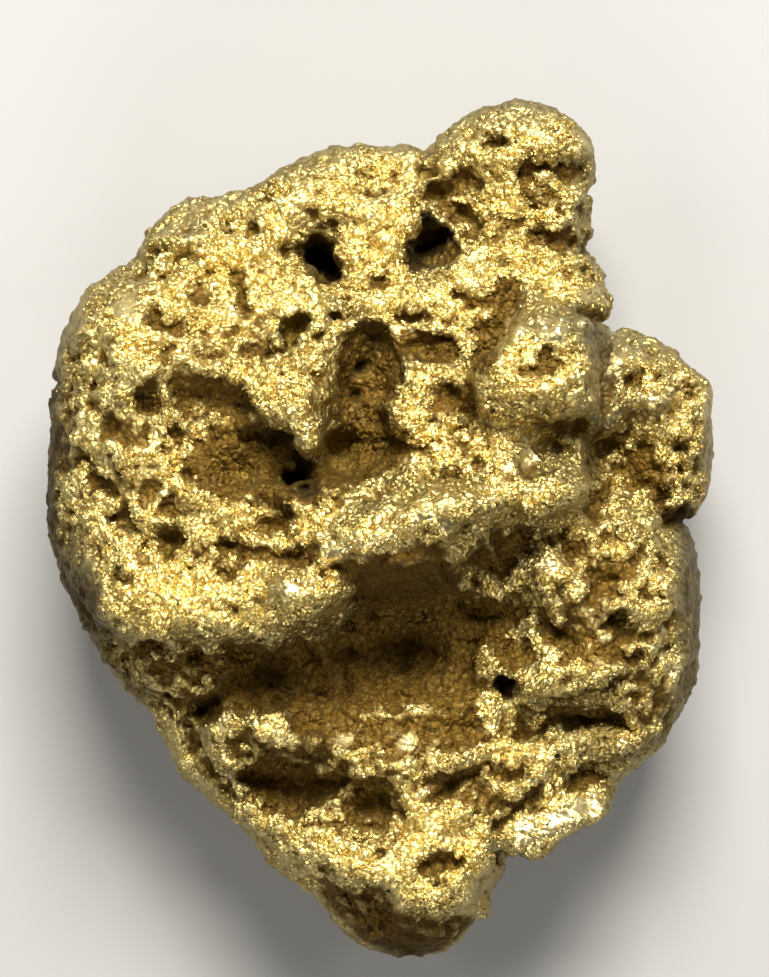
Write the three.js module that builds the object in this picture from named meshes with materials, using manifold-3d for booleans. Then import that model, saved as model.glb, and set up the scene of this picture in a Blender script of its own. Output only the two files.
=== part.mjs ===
// A waterworn gold nugget lying on its back, in millimetres, +Z up. The rugged face looks up, and the knob
// at the nugget's head points to +Y. The nugget is one lump of native metal, so it is one solid: rounded
// lobes run into each other, hollows are worn into them, and the underside is rubbed flat where it rests.

import * as THREE from 'three';
import { MarchingCubes } from 'three/addons/objects/MarchingCubes.js';
import { mergeVertices } from 'three/addons/utils/BufferGeometryUtils.js';
import Module from 'manifold-3d';

// Driving dimensions: the box that the finished nugget fills.
const LENGTH = 60;
const WIDTH = 46.6;
const THICKNESS = 25.4;

// The skin is drawn through a cubic grid that holds the nugget with room to spare.
const GRID_CELLS = 48;
const GRID_SIDE = 70;
const GRID_MIDDLE = new THREE.Vector3(0, 0, 12);
const CELL = GRID_SIDE / GRID_CELLS;
// A grid corner is kept at least this share of a cell off the skin, so that no facet is a sliver.
const CLEARANCE = 0.12;
const MOST_TRIANGLES = 20000;

// How softly lobes run into each other, and how round the lip of a hollow is.
const LOBE_BLEND = 2.4;
const SOLE_BLEND = 6;
const LIP_BLEND = 1.6;

// Each form is an ellipsoid: its centre, its half axes, its turn about Z in degrees, and then its lean in
// degrees, which tips its upper end over towards higher x and lower y.
const form = (name, at, half, turn = 0, lean = 0) => ({ name, at, half, turn, lean });

// The bulk of the nugget.
const MASSES = [
  form('belly', [-4, 4, 11], [17, 15.5, 9.8]),
  form('left flank', [-14, 2, 10], [9.2, 13, 8.2], 6),
  form('right flank', [14, -5, 9.5], [7.6, 11, 8]),
  form('lower wedge', [1, -13, 9.5], [11.5, 13, 8]),
  form('upper right', [8, 12, 10.5], [8, 9, 8]),
];

// The lobes that stand out around the rim, from the head round by the right side.
const RIM_LOBES = [
  form('knob', [9.8, 25.9, 10.5], [5.5, 4.1, 5.2], -6),
  form('neck', [10.2, 19.5, 10.5], [4.8, 6, 5.4]),
  form('nape', [3.4, 22.2, 10.2], [4.2, 4.1, 4.4], 12),
  form('neck spur', [13.6, 16.2, 12.6], [2.3, 1.6, 2.4], -20),
  form('inner ear', [17.2, 9.8, 10], [2.5, 3.8, 4.6]),
  form('middle ear', [19.2, 8.4, 9.6], [2.4, 4.1, 4.6], 8),
  form('outer ear', [20.8, 6.1, 9.4], [2.5, 5.4, 5], 4),
  form('cheek', [18.3, -4.2, 10.6], [3.8, 4.6, 5.4]),
  form('jowl', [17.8, -9.4, 9.2], [4.4, 4.8, 5.8]),
  form('knuckle', [16.9, -13.8, 8.6], [3, 2.8, 4]),
  form('heel plate', [11.8, -19.5, 7.4], [4.7, 2.5, 4.2], 36),
  form('heel', [10.4, -16.4, 8.8], [5, 5, 5.6]),
  form('toe', [1.9, -24.2, 9], [5.9, 5.8, 6.8], -8),
  form('toe shoulder', [-4.6, -20.4, 8.6], [4.6, 3.8, 5.8], -38),
  form('lower left edge', [-10.2, -14.6, 8.4], [4.4, 5, 5.8], 40),
  form('left hip', [-14.4, -7.6, 8.8], [4.6, 6.4, 6.4], 24),
  form('left shoulder', [-15, 11, 11.5], [7.3, 8, 7.4]),
  form('shoulder fold', [-11.8, 18.9, 10], [5, 4.4, 5], 22),
  form('crown', [-3.6, 20, 11], [7, 5.6, 6], 8),
  form('crown edge', [-1, 24.3, 10], [4.2, 2.3, 3.4], 2),
];

// Bosses and ridges on the face.
const FACE_RELIEF = [
  form('boss', [10.4, 10, 16.6], [5, 5.6, 6.6]),
  form('ledge middle', [3, 0.9, 20], [6.4, 2.5, 4.2], 10),
  form('ledge right', [10.4, 2.8, 18.6], [4.6, 2.2, 4], 8),
  form('ledge lip', [1.2, -1.4, 20.6], [4, 2.4, 2.6]),
  form('left band', [-11.4, -3.6, 16.2], [8.4, 3, 3.6], 2),
  form('left band nose', [-5.2, -3.2, 18.4], [3.6, 2.8, 3.2], 8),
  form('bridge', [-5.6, 9.6, 17.4], [2.2, 3.4, 3.6], 34),
  form('shoulder brow', [-13.4, 10, 17], [5.4, 2.8, 3], -8),
  form('cheekbone', [13.6, -2.6, 16], [5, 2.2, 2.8], -24),
  form('jowl ridge', [13, -9, 15], [4.8, 2, 2.8], 14),
  form('low ridge', [-6.4, -13.6, 14.6], [5.4, 1.6, 2.4], -8),
  form('toe crest', [3, -21.6, 13.4], [5.6, 2.8, 3.6], 4),
];

const HOLLOWS = [
  form('great hollow', [-0.2, -8.8, 21.4], [10.4, 4.2, 6.4], 4),
  form('great hollow throat', [2.4, -7.6, 18.6], [5.4, 3, 4.6], -8),
  form('slot', [-9, 5, 20.4], [5.6, 2.5, 4.8], -4),
  form('slot shelf', [-11.2, 7.8, 21.6], [4, 2, 3.4], -6),
  form('chimney', [-1, 10.4, 21.4], [2.5, 4.4, 5]),
  form('chimney foot', [-3.2, 5.2, 20.6], [3.6, 2.2, 4.6], 12),
  form('boss undercut', [11, 6, 21.4], [3.4, 1.5, 4], -12),
  form('boss groove', [6.2, 13.6, 20], [1.3, 3.6, 3.2], 14),
  form('ear hollow', [18.2, 4.4, 15.4], [2.1, 2.6, 4], 10),
  form('ear groove', [16.4, 9.4, 17.6], [1, 4.4, 4], 4),
  form('crown bowl', [-3.7, 20.3, 18.6], [3, 2, 3.4], -6),
  form('neck groove', [5.4, 22, 17], [3.2, 1.4, 3.2], -34),
  form('knob undercut', [12, 24, 17.4], [3, 1.4, 2.8], 8),
  form('toe hollow', [-5.8, -17.2, 18], [4.6, 2.2, 3.8], -6),
  form('toe bowl', [-0.8, -18.9, 17.6], [2.4, 1.6, 3.2], -4),
  form('hip pit', [-12.3, -12.2, 17], [1.4, 1.9, 3.4]),
  form('knuckle groove', [13.4, -13, 17.4], [3.4, 1.2, 3], 6),
];

// Broad swellings of the underside, which the bed has rubbed flat.
const SOLE_LOBES = [
  form('sole upper left', [-10.5, 8.5, 4.9], [8, 6.4, 5.6], 34),
  form('sole upper right', [8.5, 10, 4.7], [5.6, 7.5, 5.2], -25),
  form('sole lower', [-2.5, -12.5, 4.8], [8.4, 5.8, 5.3], 14),
  form('sole right', [12, -5, 4.8], [5.2, 7.4, 5.1], 12),
];

const SOLE_HOLLOWS = [
  form('sole arch', [-1.6, -0.6, -3.6], [7, 5, 5.4], 24),
  form('sole dent', [3.4, 17, 0.6], [4.4, 3.4, 4.4], 20),
  form('sole crease', [-16, -6, 1.4], [5, 2.4, 3.4], 52),
];

// Narrow pits, cut clean through the skin. The eye goes right through the nugget, on a slant.
const EYE_SLANT = 30;
const PITS = [
  form('eye', [1.2, 22.2, 9.4], [2.1, 1.35, 11], 32, EYE_SLANT),
  form('crown pit', [-4.2, 19.1, 15.6], [1.25, 1.35, 4.6], 10),
  form('crown pit lobe', [-3.3, 17.7, 15.6], [1, 0.95, 4]),
  form('slot pit', [-5.7, 3.8, 15.8], [1.2, 1, 4], 20),
];
const PIT_FACETS = 2;

const MERGE_WITHIN = 1e-4;

// Signed distance from a point to an ellipsoid, below zero inside it.
function distanceTo({ at, half, turn }, x, y, z) {
  const angle = THREE.MathUtils.degToRad(turn);
  const dx = x - at[0];
  const dy = y - at[1];
  const u = (dx * Math.cos(angle) + dy * Math.sin(angle)) / half[0];
  const v = (dy * Math.cos(angle) - dx * Math.sin(angle)) / half[1];
  const w = (z - at[2]) / half[2];
  const reach = Math.hypot(u, v, w);
  const slope = Math.hypot(u / half[0], v / half[1], w / half[2]);
  return slope > 0 ? (reach * (reach - 1)) / slope : -Math.min(...half);
}

function softMin(a, b, blend) {
  const share = Math.max(blend - Math.abs(a - b), 0) / blend;
  return Math.min(a, b) - (share * share * blend) / 4;
}

const softMax = (a, b, blend) => -softMin(-a, -b, blend);

// Signed distance from a point to the nugget's skin.
function nuggetAt(x, y, z) {
  let depth = Infinity;
  for (const lobe of [...MASSES, ...RIM_LOBES, ...FACE_RELIEF]) {
    depth = softMin(depth, distanceTo(lobe, x, y, z), LOBE_BLEND);
  }
  for (const lobe of SOLE_LOBES) {
    depth = softMin(depth, distanceTo(lobe, x, y, z), SOLE_BLEND);
  }
  for (const hollow of [...HOLLOWS, ...SOLE_HOLLOWS]) {
    depth = softMax(depth, -distanceTo(hollow, x, y, z), LIP_BLEND);
  }
  return depth;
}

// The closed skin around every point where the distance is below zero.
function skinOf(distance) {
  const cubes = new MarchingCubes(GRID_CELLS, new THREE.MeshBasicMaterial(), false, false, MOST_TRIANGLES);
  const corner = GRID_MIDDLE.clone().subScalar(GRID_SIDE / 2);
  for (let i = 0; i < GRID_CELLS; i++) {
    for (let j = 0; j < GRID_CELLS; j++) {
      for (let k = 0; k < GRID_CELLS; k++) {
        const cells = distance(corner.x + i * CELL, corner.y + j * CELL, corner.z + k * CELL) / CELL;
        const side = cells < 0 ? 1 : -1;
        cubes.setCell(i, j, k, side * Math.max(Math.abs(cells), CLEARANCE));
      }
    }
  }
  cubes.isolation = 0;
  cubes.update();
  const positions = new THREE.BufferAttribute(cubes.positionArray.slice(0, cubes.count * 3), 3);
  return new THREE.BufferGeometry()
    .setAttribute('position', positions)
    .scale(GRID_SIDE / 2, GRID_SIDE / 2, GRID_SIDE / 2)
    .translate(...GRID_MIDDLE);
}

const wasm = await Module();
wasm.setup();

function solidOf(geometry) {
  const bare = geometry.clone();
  bare.deleteAttribute('normal');
  bare.deleteAttribute('uv');
  const merged = mergeVertices(bare, MERGE_WITHIN);
  const mesh = new wasm.Mesh({
    numProp: 3,
    vertProperties: new Float32Array(merged.getAttribute('position').array),
    triVerts: new Uint32Array(merged.index.array),
  });
  return new wasm.Manifold(mesh);
}

function geometryOf(solid) {
  const mesh = solid.getMesh();
  return new THREE.BufferGeometry()
    .setAttribute('position', new THREE.BufferAttribute(new Float32Array(mesh.vertProperties), 3))
    .setIndex(new THREE.BufferAttribute(new Uint32Array(mesh.triVerts), 1));
}

function pitCutter({ at, half, turn, lean }) {
  const leanAxis = new THREE.Vector3(1, 1, 0).normalize();
  const tip = new THREE.Matrix4().makeRotationAxis(leanAxis, THREE.MathUtils.degToRad(lean));
  return new THREE.IcosahedronGeometry(1, PIT_FACETS)
    .scale(...half)
    .rotateZ(THREE.MathUtils.degToRad(turn))
    .applyMatrix4(tip)
    .translate(...at);
}

// The bed that the nugget lies on: everything below z = 0 is worn away.
function bedCutter() {
  return new THREE.BoxGeometry(2 * LENGTH, 2 * LENGTH, LENGTH).translate(0, 0, -LENGTH / 2);
}

// Centres the nugget over the origin and brings it to its driving dimensions.
function fitToSize(geometry) {
  geometry.computeBoundingBox();
  const size = geometry.boundingBox.getSize(new THREE.Vector3());
  const middle = geometry.boundingBox.getCenter(new THREE.Vector3());
  return geometry
    .translate(-middle.x, -middle.y, 0)
    .scale(WIDTH / size.x, LENGTH / size.y, THICKNESS / size.z);
}

let solid = solidOf(skinOf(nuggetAt));
for (const pit of PITS) {
  solid = solid.subtract(solidOf(pitCutter(pit)));
}
solid = solid.subtract(solidOf(bedCutter()));

const geometry = fitToSize(geometryOf(solid));
geometry.computeVertexNormals();

const nativeGold = new THREE.MeshStandardMaterial({ color: 0xd4af5a, metalness: 1, roughness: 0.38 });
const nugget = new THREE.Mesh(geometry, nativeGold);
nugget.name = 'nugget';

const part = new THREE.Group();
part.add(nugget);

export default part;
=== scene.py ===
"""A waterworn gold nugget, lying on its back on a pale studio floor with its rugged face up.

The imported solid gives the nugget's size and its main lobes and hollows. A copy of its skin is worked here
as a sculptor works clay: hollows are cut, ledges raised and grooves pressed in, the skin is roughened, and
thousands of small gold grains are set into it where running water has not rubbed it smooth. Forms are placed
in millimetres on the face, with x to the lobed side, y to the knob, and the middle of the solid at zero.
"""

import logging
import math
import random
from dataclasses import dataclass
from enum import Enum
from typing import Any, Callable, Iterable

import bmesh
import bpy
import numpy as np
from mathutils import Matrix, Vector, noise
from mathutils.bvhtree import BVHTree


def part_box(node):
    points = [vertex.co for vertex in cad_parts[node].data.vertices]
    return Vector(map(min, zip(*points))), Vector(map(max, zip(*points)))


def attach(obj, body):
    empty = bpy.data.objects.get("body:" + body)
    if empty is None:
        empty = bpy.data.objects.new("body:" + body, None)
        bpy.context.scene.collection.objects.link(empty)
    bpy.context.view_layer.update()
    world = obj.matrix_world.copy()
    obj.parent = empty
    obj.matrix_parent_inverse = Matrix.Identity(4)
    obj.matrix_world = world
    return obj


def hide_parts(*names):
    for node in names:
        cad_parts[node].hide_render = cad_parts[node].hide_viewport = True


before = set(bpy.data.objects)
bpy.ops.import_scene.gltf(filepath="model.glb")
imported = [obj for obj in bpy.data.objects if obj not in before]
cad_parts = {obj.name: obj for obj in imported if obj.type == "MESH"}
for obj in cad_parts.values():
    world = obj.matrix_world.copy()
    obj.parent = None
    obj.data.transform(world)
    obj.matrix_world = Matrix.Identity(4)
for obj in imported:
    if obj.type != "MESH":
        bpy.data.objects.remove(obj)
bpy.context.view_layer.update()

LOG = logging.getLogger("nugget")
NODE = "nugget"
BODY = "root"
MM = 0.001
SEED = 20

Point2 = tuple[float, float]
Path = tuple[Point2, ...]
Colour = tuple[float, float, float]


# --------------------------------------------------------------------------------------------------
# Forms: what is pressed into the skin
# --------------------------------------------------------------------------------------------------


class Side(Enum):
    """The part of the skin that a form is pressed into."""

    FACE = "face"
    SOLE = "sole"
    ALL = "all"


class Profile(Enum):
    """How a form falls away from its middle to its edge."""

    BOWL = "bowl"
    PIT = "pit"


class Mark(Enum):
    """What a patch of the skin is marked with."""

    STAIN = "stain"
    WORN = "worn"
    PAINTED_SHADE = "pitch"
    POLISH_AND_PAINTED_HIGHLIGHT = "polish_and_painted_highlight"


class Stone(Enum):
    """The plain shape that a grain starts from."""

    ROUND = "round"
    SHARP = "sharp"


def smooth_step(low: float, high: float, value: np.ndarray) -> np.ndarray:
    """Rises smoothly from 0 at low to 1 at high.

    Args:
        low: The value where the rise starts.
        high: The value where it ends.
        value: The values to read.

    Returns:
        The height of the rise at each value.
    """
    share = np.clip((value - low) / (high - low), 0.0, 1.0)
    return share * share * (3.0 - 2.0 * share)


def fall_off(profile: Profile, reach: np.ndarray) -> np.ndarray:
    """The strength of a form at a share of its reach.

    Args:
        profile: The shape of the form.
        reach: Distance from the middle, 1 at the edge.

    Returns:
        Strength from 1 at the middle to 0 at the edge.
    """
    inside = np.clip(reach, 0.0, 1.0)
    if profile is Profile.PIT:
        return 1.0 - smooth_step(0.45, 1.0, inside)
    return (1.0 - inside * inside) ** 2


@dataclass(frozen=True)
class Dab:
    """An oval form pressed into the skin, or raised where its depth is below zero."""

    at: Point2
    half: Point2
    depth: float
    turn: float = 0.0
    profile: Profile = Profile.BOWL
    side: Side = Side.FACE

    def strength(self, points: np.ndarray) -> np.ndarray:
        """How deep the form goes at each place.

        Args:
            points: Places in millimetres.

        Returns:
            Depth in millimetres.
        """
        angle = math.radians(self.turn)
        dx = points[:, 0] - self.at[0]
        dy = points[:, 1] - self.at[1]
        along = (dx * math.cos(angle) + dy * math.sin(angle)) / self.half[0]
        across = (dy * math.cos(angle) - dx * math.sin(angle)) / self.half[1]
        return self.depth * fall_off(self.profile, np.hypot(along, across))


@dataclass(frozen=True)
class Groove:
    """A form along a line of points, cut in, or raised as a ridge where its depth is below zero."""

    path: Path
    width: float
    depth: float
    profile: Profile = Profile.BOWL
    side: Side = Side.FACE

    def strength(self, points: np.ndarray) -> np.ndarray:
        """How deep the form goes at each place.

        Args:
            points: Places in millimetres.

        Returns:
            Depth in millimetres.
        """
        away, _ = distance_to_path(self.path, points)
        return self.depth * fall_off(self.profile, away / (self.width / 2))


@dataclass(frozen=True)
class Basin:
    """A hollow with its own outline: its floor lies at one depth, and its walls rise within the lip."""

    outline: Path
    depth: float
    lip: float = 1.0
    side: Side = Side.FACE

    def strength(self, points: np.ndarray) -> np.ndarray:
        """How deep the hollow is at each place.

        Args:
            points: Places in millimetres.

        Returns:
            Depth in millimetres.
        """
        away, _ = distance_to_path((*self.outline, self.outline[0]), points)
        inside = np.zeros(len(points), bool)
        for (x0, y0), (x1, y1) in zip(self.outline, (*self.outline[1:], self.outline[0])):
            crosses = (y0 > points[:, 1]) != (y1 > points[:, 1])
            level = (points[:, 1] - y0) / (y1 - y0 if y1 != y0 else 1.0)
            inside ^= crosses & (points[:, 0] < x0 + level * (x1 - x0))
        return self.depth * smooth_step(-0.2 * self.lip, self.lip, np.where(inside, away, -away))


@dataclass(frozen=True)
class Ramp:
    """A slope that climbs to a crest and breaks off behind it. It lies on the left of the crest's path."""

    crest: Path
    width: float
    rise: float
    drop: float = 0.9
    side: Side = Side.FACE

    def strength(self, points: np.ndarray) -> np.ndarray:
        """How high the slope stands at each place, as a depth below zero.

        Args:
            points: Places in millimetres.

        Returns:
            Depth in millimetres.
        """
        away, left = distance_to_path(self.crest, points)
        share = np.where(left, away / self.width, away / self.drop)
        height = np.where(left, 1.0 - np.clip(share, 0.0, 1.0), 1.0 - smooth_step(0.0, 1.0, share))
        return -self.rise * height * self.between_ends(points)

    def between_ends(self, points: np.ndarray) -> np.ndarray:
        """Fades the slope out past the two ends of its crest.

        Args:
            points: Places in millimetres.

        Returns:
            A share from 0 to 1 for each place.
        """
        fade = np.ones(len(points))
        for end, inner in ((self.crest[0], self.crest[1]), (self.crest[-1], self.crest[-2])):
            outward = np.array(end) - np.array(inner)
            outward /= np.linalg.norm(outward)
            fade *= 1.0 - smooth_step(-0.6, 1.6, (points[:, :2] - np.array(end)) @ outward)
        return fade


Form = Dab | Groove | Basin | Ramp


def distance_to_path(path: Path, points: np.ndarray) -> tuple[np.ndarray, np.ndarray]:
    """Measures how far places lie from a line of points, seen from above.

    Args:
        path: The line's points.
        points: Places in millimetres.

    Returns:
        The distance of each place, and whether it lies on the left of the line.
    """
    nearest = np.full(len(points), np.inf)
    left = np.zeros(len(points), bool)
    for start, end in zip(path, path[1:]):
        first = np.array(start)
        run = np.array(end) - first
        off = points[:, :2] - first
        share = np.clip(off @ run / (run @ run), 0.0, 1.0)
        away = np.linalg.norm(off - share[:, None] * run, axis=1)
        closer = away < nearest
        left = np.where(closer, run[0] * off[:, 1] - run[1] * off[:, 0] > 0.0, left)
        nearest = np.where(closer, away, nearest)
    return nearest, left


# --------------------------------------------------------------------------------------------------
# Noise
# --------------------------------------------------------------------------------------------------


def read_field(points: np.ndarray, size: float, seed: int, rule: Callable[[Vector], float]) -> np.ndarray:
    """Reads a noise field at many places.

    Args:
        points: Places in millimetres.
        size: The size of the field's features in millimetres.
        seed: Shifts the field, so that two fields differ.
        rule: The noise to read.

    Returns:
        The field's value at each place.
    """
    shift = Vector((seed * 17.3, seed * -9.1, seed * 5.7))
    return np.fromiter((rule(Vector(p) + shift) for p in points / size), float, len(points))


def bend(points: np.ndarray) -> np.ndarray:
    """Shifts places sideways by noise, so that outlines drawn through them come out ragged.

    Args:
        points: Places in millimetres.

    Returns:
        The shifted places.
    """
    bent = points.copy()
    for axis in (0, 1):
        bent[:, axis] += 0.75 * read_field(points, 2.6, 31 + axis, noise.noise)
        bent[:, axis] += 0.42 * read_field(points, 0.95, 41 + axis, noise.noise)
    return bent


def cobble(place: Vector) -> float:
    """Rounded lumps packed side by side: 1 on top of a lump and 0 in the seam between two."""
    near, far = noise.voronoi(place)[0][:2]
    return min(1.0, (far - near) * 1.6)


def facet(place: Vector) -> float:
    """A random height for each lump, with soft seams."""
    distances, centres = noise.voronoi(place)
    return noise.cell(centres[0] * 7.31) * min(1.0, (distances[1] - distances[0]) * 3.0)


def pock(place: Vector) -> float:
    """Scattered round pits.

    Args:
        place: Where to read, in units of the pits' spacing.

    Returns:
        Up to 1 in the middle of a pit, and 0 elsewhere.
    """
    distances, centres = noise.voronoi(place)
    size = 0.2 + 0.3 * abs(noise.cell(centres[0] * 3.17))
    wanted = noise.cell(centres[0] * 5.93) > 0.25
    return max(0.0, 1.0 - (distances[0] / size) ** 2) if wanted else 0.0


def crag(place: Vector) -> float:
    """Sharp broken ridges."""
    return noise.ridged_multi_fractal(place, 0.9, 2.1, 4, 1.0, 2.0)


# --------------------------------------------------------------------------------------------------
# Clay: the skin while it is worked
# --------------------------------------------------------------------------------------------------


@dataclass
class Clay:
    """The nugget's skin in millimetres: the solid's middle is at zero in x and y, and its bed in z."""

    item: bpy.types.Object
    waist: float = 9.5

    @property
    def mesh(self) -> bpy.types.Mesh:
        """The mesh of the skin."""
        return self.item.data

    def points(self) -> np.ndarray:
        """Reads the skin's corners.

        Returns:
            One place for each corner.
        """
        flat = np.empty(len(self.mesh.vertices) * 3, np.float32)
        self.mesh.vertices.foreach_get("co", flat)
        return flat.reshape(-1, 3).astype(float)

    def set_points(self, points: np.ndarray) -> None:
        """Moves the skin's corners to new places."""
        self.mesh.vertices.foreach_set("co", points.astype(np.float32).ravel())
        self.mesh.update()

    def normals(self) -> np.ndarray:
        """Reads which way is out at the skin's corners.

        Returns:
            One direction for each corner.
        """
        flat = np.empty(len(self.mesh.vertices) * 3, np.float32)
        self.mesh.vertex_normals.foreach_get("vector", flat)
        return flat.reshape(-1, 3).astype(float)

    def edges(self) -> np.ndarray:
        """Reads the skin's edges.

        Returns:
            The two corners of each edge.
        """
        flat = np.empty(len(self.mesh.edges) * 2, np.int32)
        self.mesh.edges.foreach_get("vertices", flat)
        return flat.reshape(-1, 2)

    def triangles(self) -> np.ndarray:
        """Reads the skin's triangles.

        Returns:
            The three corners of each triangle.
        """
        self.mesh.calc_loop_triangles()
        flat = np.empty(len(self.mesh.loop_triangles) * 3, np.int32)
        self.mesh.loop_triangles.foreach_get("vertices", flat)
        return flat.reshape(-1, 3)

    def evened(self, values: np.ndarray, times: int) -> np.ndarray:
        """Spreads values over the skin, each corner taking the mean of its neighbours.

        Args:
            values: One row for each corner.
            times: How often the mean is taken.

        Returns:
            The spread values.
        """
        ends = self.edges()
        count = len(values)
        shared = np.bincount(ends.ravel(), minlength=count)
        spread = values.astype(float)
        for _ in range(times):
            total = np.empty_like(spread)
            for column in range(spread.shape[1]):
                ahead = np.bincount(ends[:, 0], weights=spread[ends[:, 1], column], minlength=count)
                behind = np.bincount(ends[:, 1], weights=spread[ends[:, 0], column], minlength=count)
                total[:, column] = ahead + behind
            spread = 0.5 * spread + 0.5 * total / shared[:, None]
        return spread

    def smooth(self, times: int) -> None:
        """Rubs the skin smooth."""
        self.set_points(self.evened(self.points(), times))

    def remesh(self, cell: float) -> None:
        """Lays an even net of cells over the skin.

        Args:
            cell: Size of a cell in millimetres.
        """
        change = self.item.modifiers.new("even net", "REMESH")
        change.mode = "VOXEL"
        change.voxel_size = cell
        change.use_smooth_shade = True
        self.bake()

    def thin(self, most_triangles: int) -> None:
        """Takes away triangles where the skin is flattest.

        Args:
            most_triangles: The number that may be left.
        """
        now = len(self.triangles())
        if now > most_triangles:
            change = self.item.modifiers.new("thin", "DECIMATE")
            change.ratio = most_triangles / now
            self.bake()

    def bake(self) -> None:
        """Applies the skin's modifiers to its mesh."""
        graph = bpy.context.evaluated_depsgraph_get()
        old = self.mesh
        fresh = bpy.data.meshes.new_from_object(self.item.evaluated_get(graph))
        self.item.modifiers.clear()
        self.item.data = fresh
        bpy.data.meshes.remove(old)

    def drop_bits(self) -> None:
        """Takes away any crumb that is not joined to the nugget."""
        shell = bmesh.new()
        shell.from_mesh(self.mesh)
        left = set(shell.verts)
        bodies = []
        while left:
            body = set()
            edge = [left.pop()]
            while edge:
                corner = edge.pop()
                body.add(corner)
                near = {line.other_vert(corner) for line in corner.link_edges} & left
                left -= near
                edge.extend(near)
            bodies.append(body)
        bodies.sort(key=len)
        crumbs = [corner for body in bodies[:-1] for corner in body]
        bmesh.ops.delete(shell, geom=crumbs, context="VERTS")
        shell.to_mesh(self.mesh)
        shell.free()

    def side_share(self, side: Side) -> np.ndarray:
        """How much each corner belongs to a side of the nugget.

        Args:
            side: The side asked for.

        Returns:
            A share from 0 to 1 for each corner.
        """
        points = self.points()
        if side is Side.ALL:
            return np.ones(len(points))
        if side is Side.FACE:
            return smooth_step(self.waist - 1.5, self.waist + 1.5, points[:, 2])
        return 1.0 - smooth_step(self.waist - 3.0, self.waist, points[:, 2])

    def press(self, forms: Iterable[Form], gain: float) -> None:
        """Presses forms into the skin, hollows straight down and the others along the skin's own direction.

        Args:
            forms: The forms to press.
            gain: How hard they are pressed.
        """
        points = self.points()
        bent = bend(points)
        inward = -self.evened(self.normals(), 6)
        inward /= np.linalg.norm(inward, axis=1)[:, None]
        down = np.array((0.0, 0.0, -1.0))
        shares = {side: self.side_share(side) for side in Side}
        for form in forms:
            strength = gain * form.strength(bent) * shares[form.side]
            way = down if isinstance(form, (Basin, Ramp)) else inward
            points += way * strength[:, None]
        self.set_points(points)

    def swell(self, heights: np.ndarray) -> None:
        """Moves every corner outward by its own height in millimetres."""
        self.set_points(self.points() + self.normals() * heights[:, None])

    def settle(self) -> None:
        """Flattens what would stand below the bed."""
        points = self.points()
        points[:, 2] = np.maximum(points[:, 2], 0.0)
        self.set_points(points)

    def openness(self, rays: int, reach: float) -> np.ndarray:
        """How much of the space in front of each corner is free.

        Args:
            rays: How many directions are tried from each corner.
            reach: How far each is followed, in millimetres.

        Returns:
            A share from 0 to 1 for each corner.
        """
        points = self.points()
        normals = self.normals()
        tree = BVHTree.FromPolygons(points.tolist(), self.triangles().tolist())
        picker = np.random.default_rng(SEED)
        free = np.zeros(len(points))
        for _ in range(rays):
            way = picker.normal(size=(len(points), 3))
            way = way / np.linalg.norm(way, axis=1)[:, None] * 0.96 + normals
            way /= np.linalg.norm(way, axis=1)[:, None]
            starts = points + normals * 0.06
            pairs = zip(starts.tolist(), way.tolist())
            hits = (tree.ray_cast(start, turn, reach)[3] for start, turn in pairs)
            seen = (1.0 if far is None else 0.6 * far / reach for far in hits)
            free += np.fromiter(seen, float, len(points))
        return free / rays

    def keep(self, name: str, values: np.ndarray) -> None:
        """Stores a value for each corner, for the finish to read.

        Args:
            name: The name that the finish reads.
            values: One value for each corner.
        """
        layer = self.mesh.attributes.new(name, "FLOAT", "POINT")
        layer.data.foreach_set("value", values.astype(np.float32))


# --------------------------------------------------------------------------------------------------
# The nugget's regions
# --------------------------------------------------------------------------------------------------


@dataclass
class Region:
    """A stretch of the nugget: its large forms, its small forms, and where it is stained or worn smooth."""

    name: str = "region"

    def large(self) -> list[Form]:
        """The forms that shape the region."""
        return []

    def small(self) -> list[Form]:
        """The forms that detail it."""
        return []

    def stain(self) -> list[Form]:
        """Where iron stain lies, with its strength in place of a depth."""
        return []

    def worn(self) -> list[Form]:
        """Where the metal is rubbed smooth, with how much in place of a depth."""
        return []

    def pitch(self) -> list[Form]:
        """Where shade is painted dark into deep pits and along edges, with how much in place of a depth."""
        return []

    def polish_and_painted_highlight(self) -> list[Form]:
        """Where knocks have burnished the metal smooth and a highlight is painted on it, with how much in
        place of a depth.
        """
        return []


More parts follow.
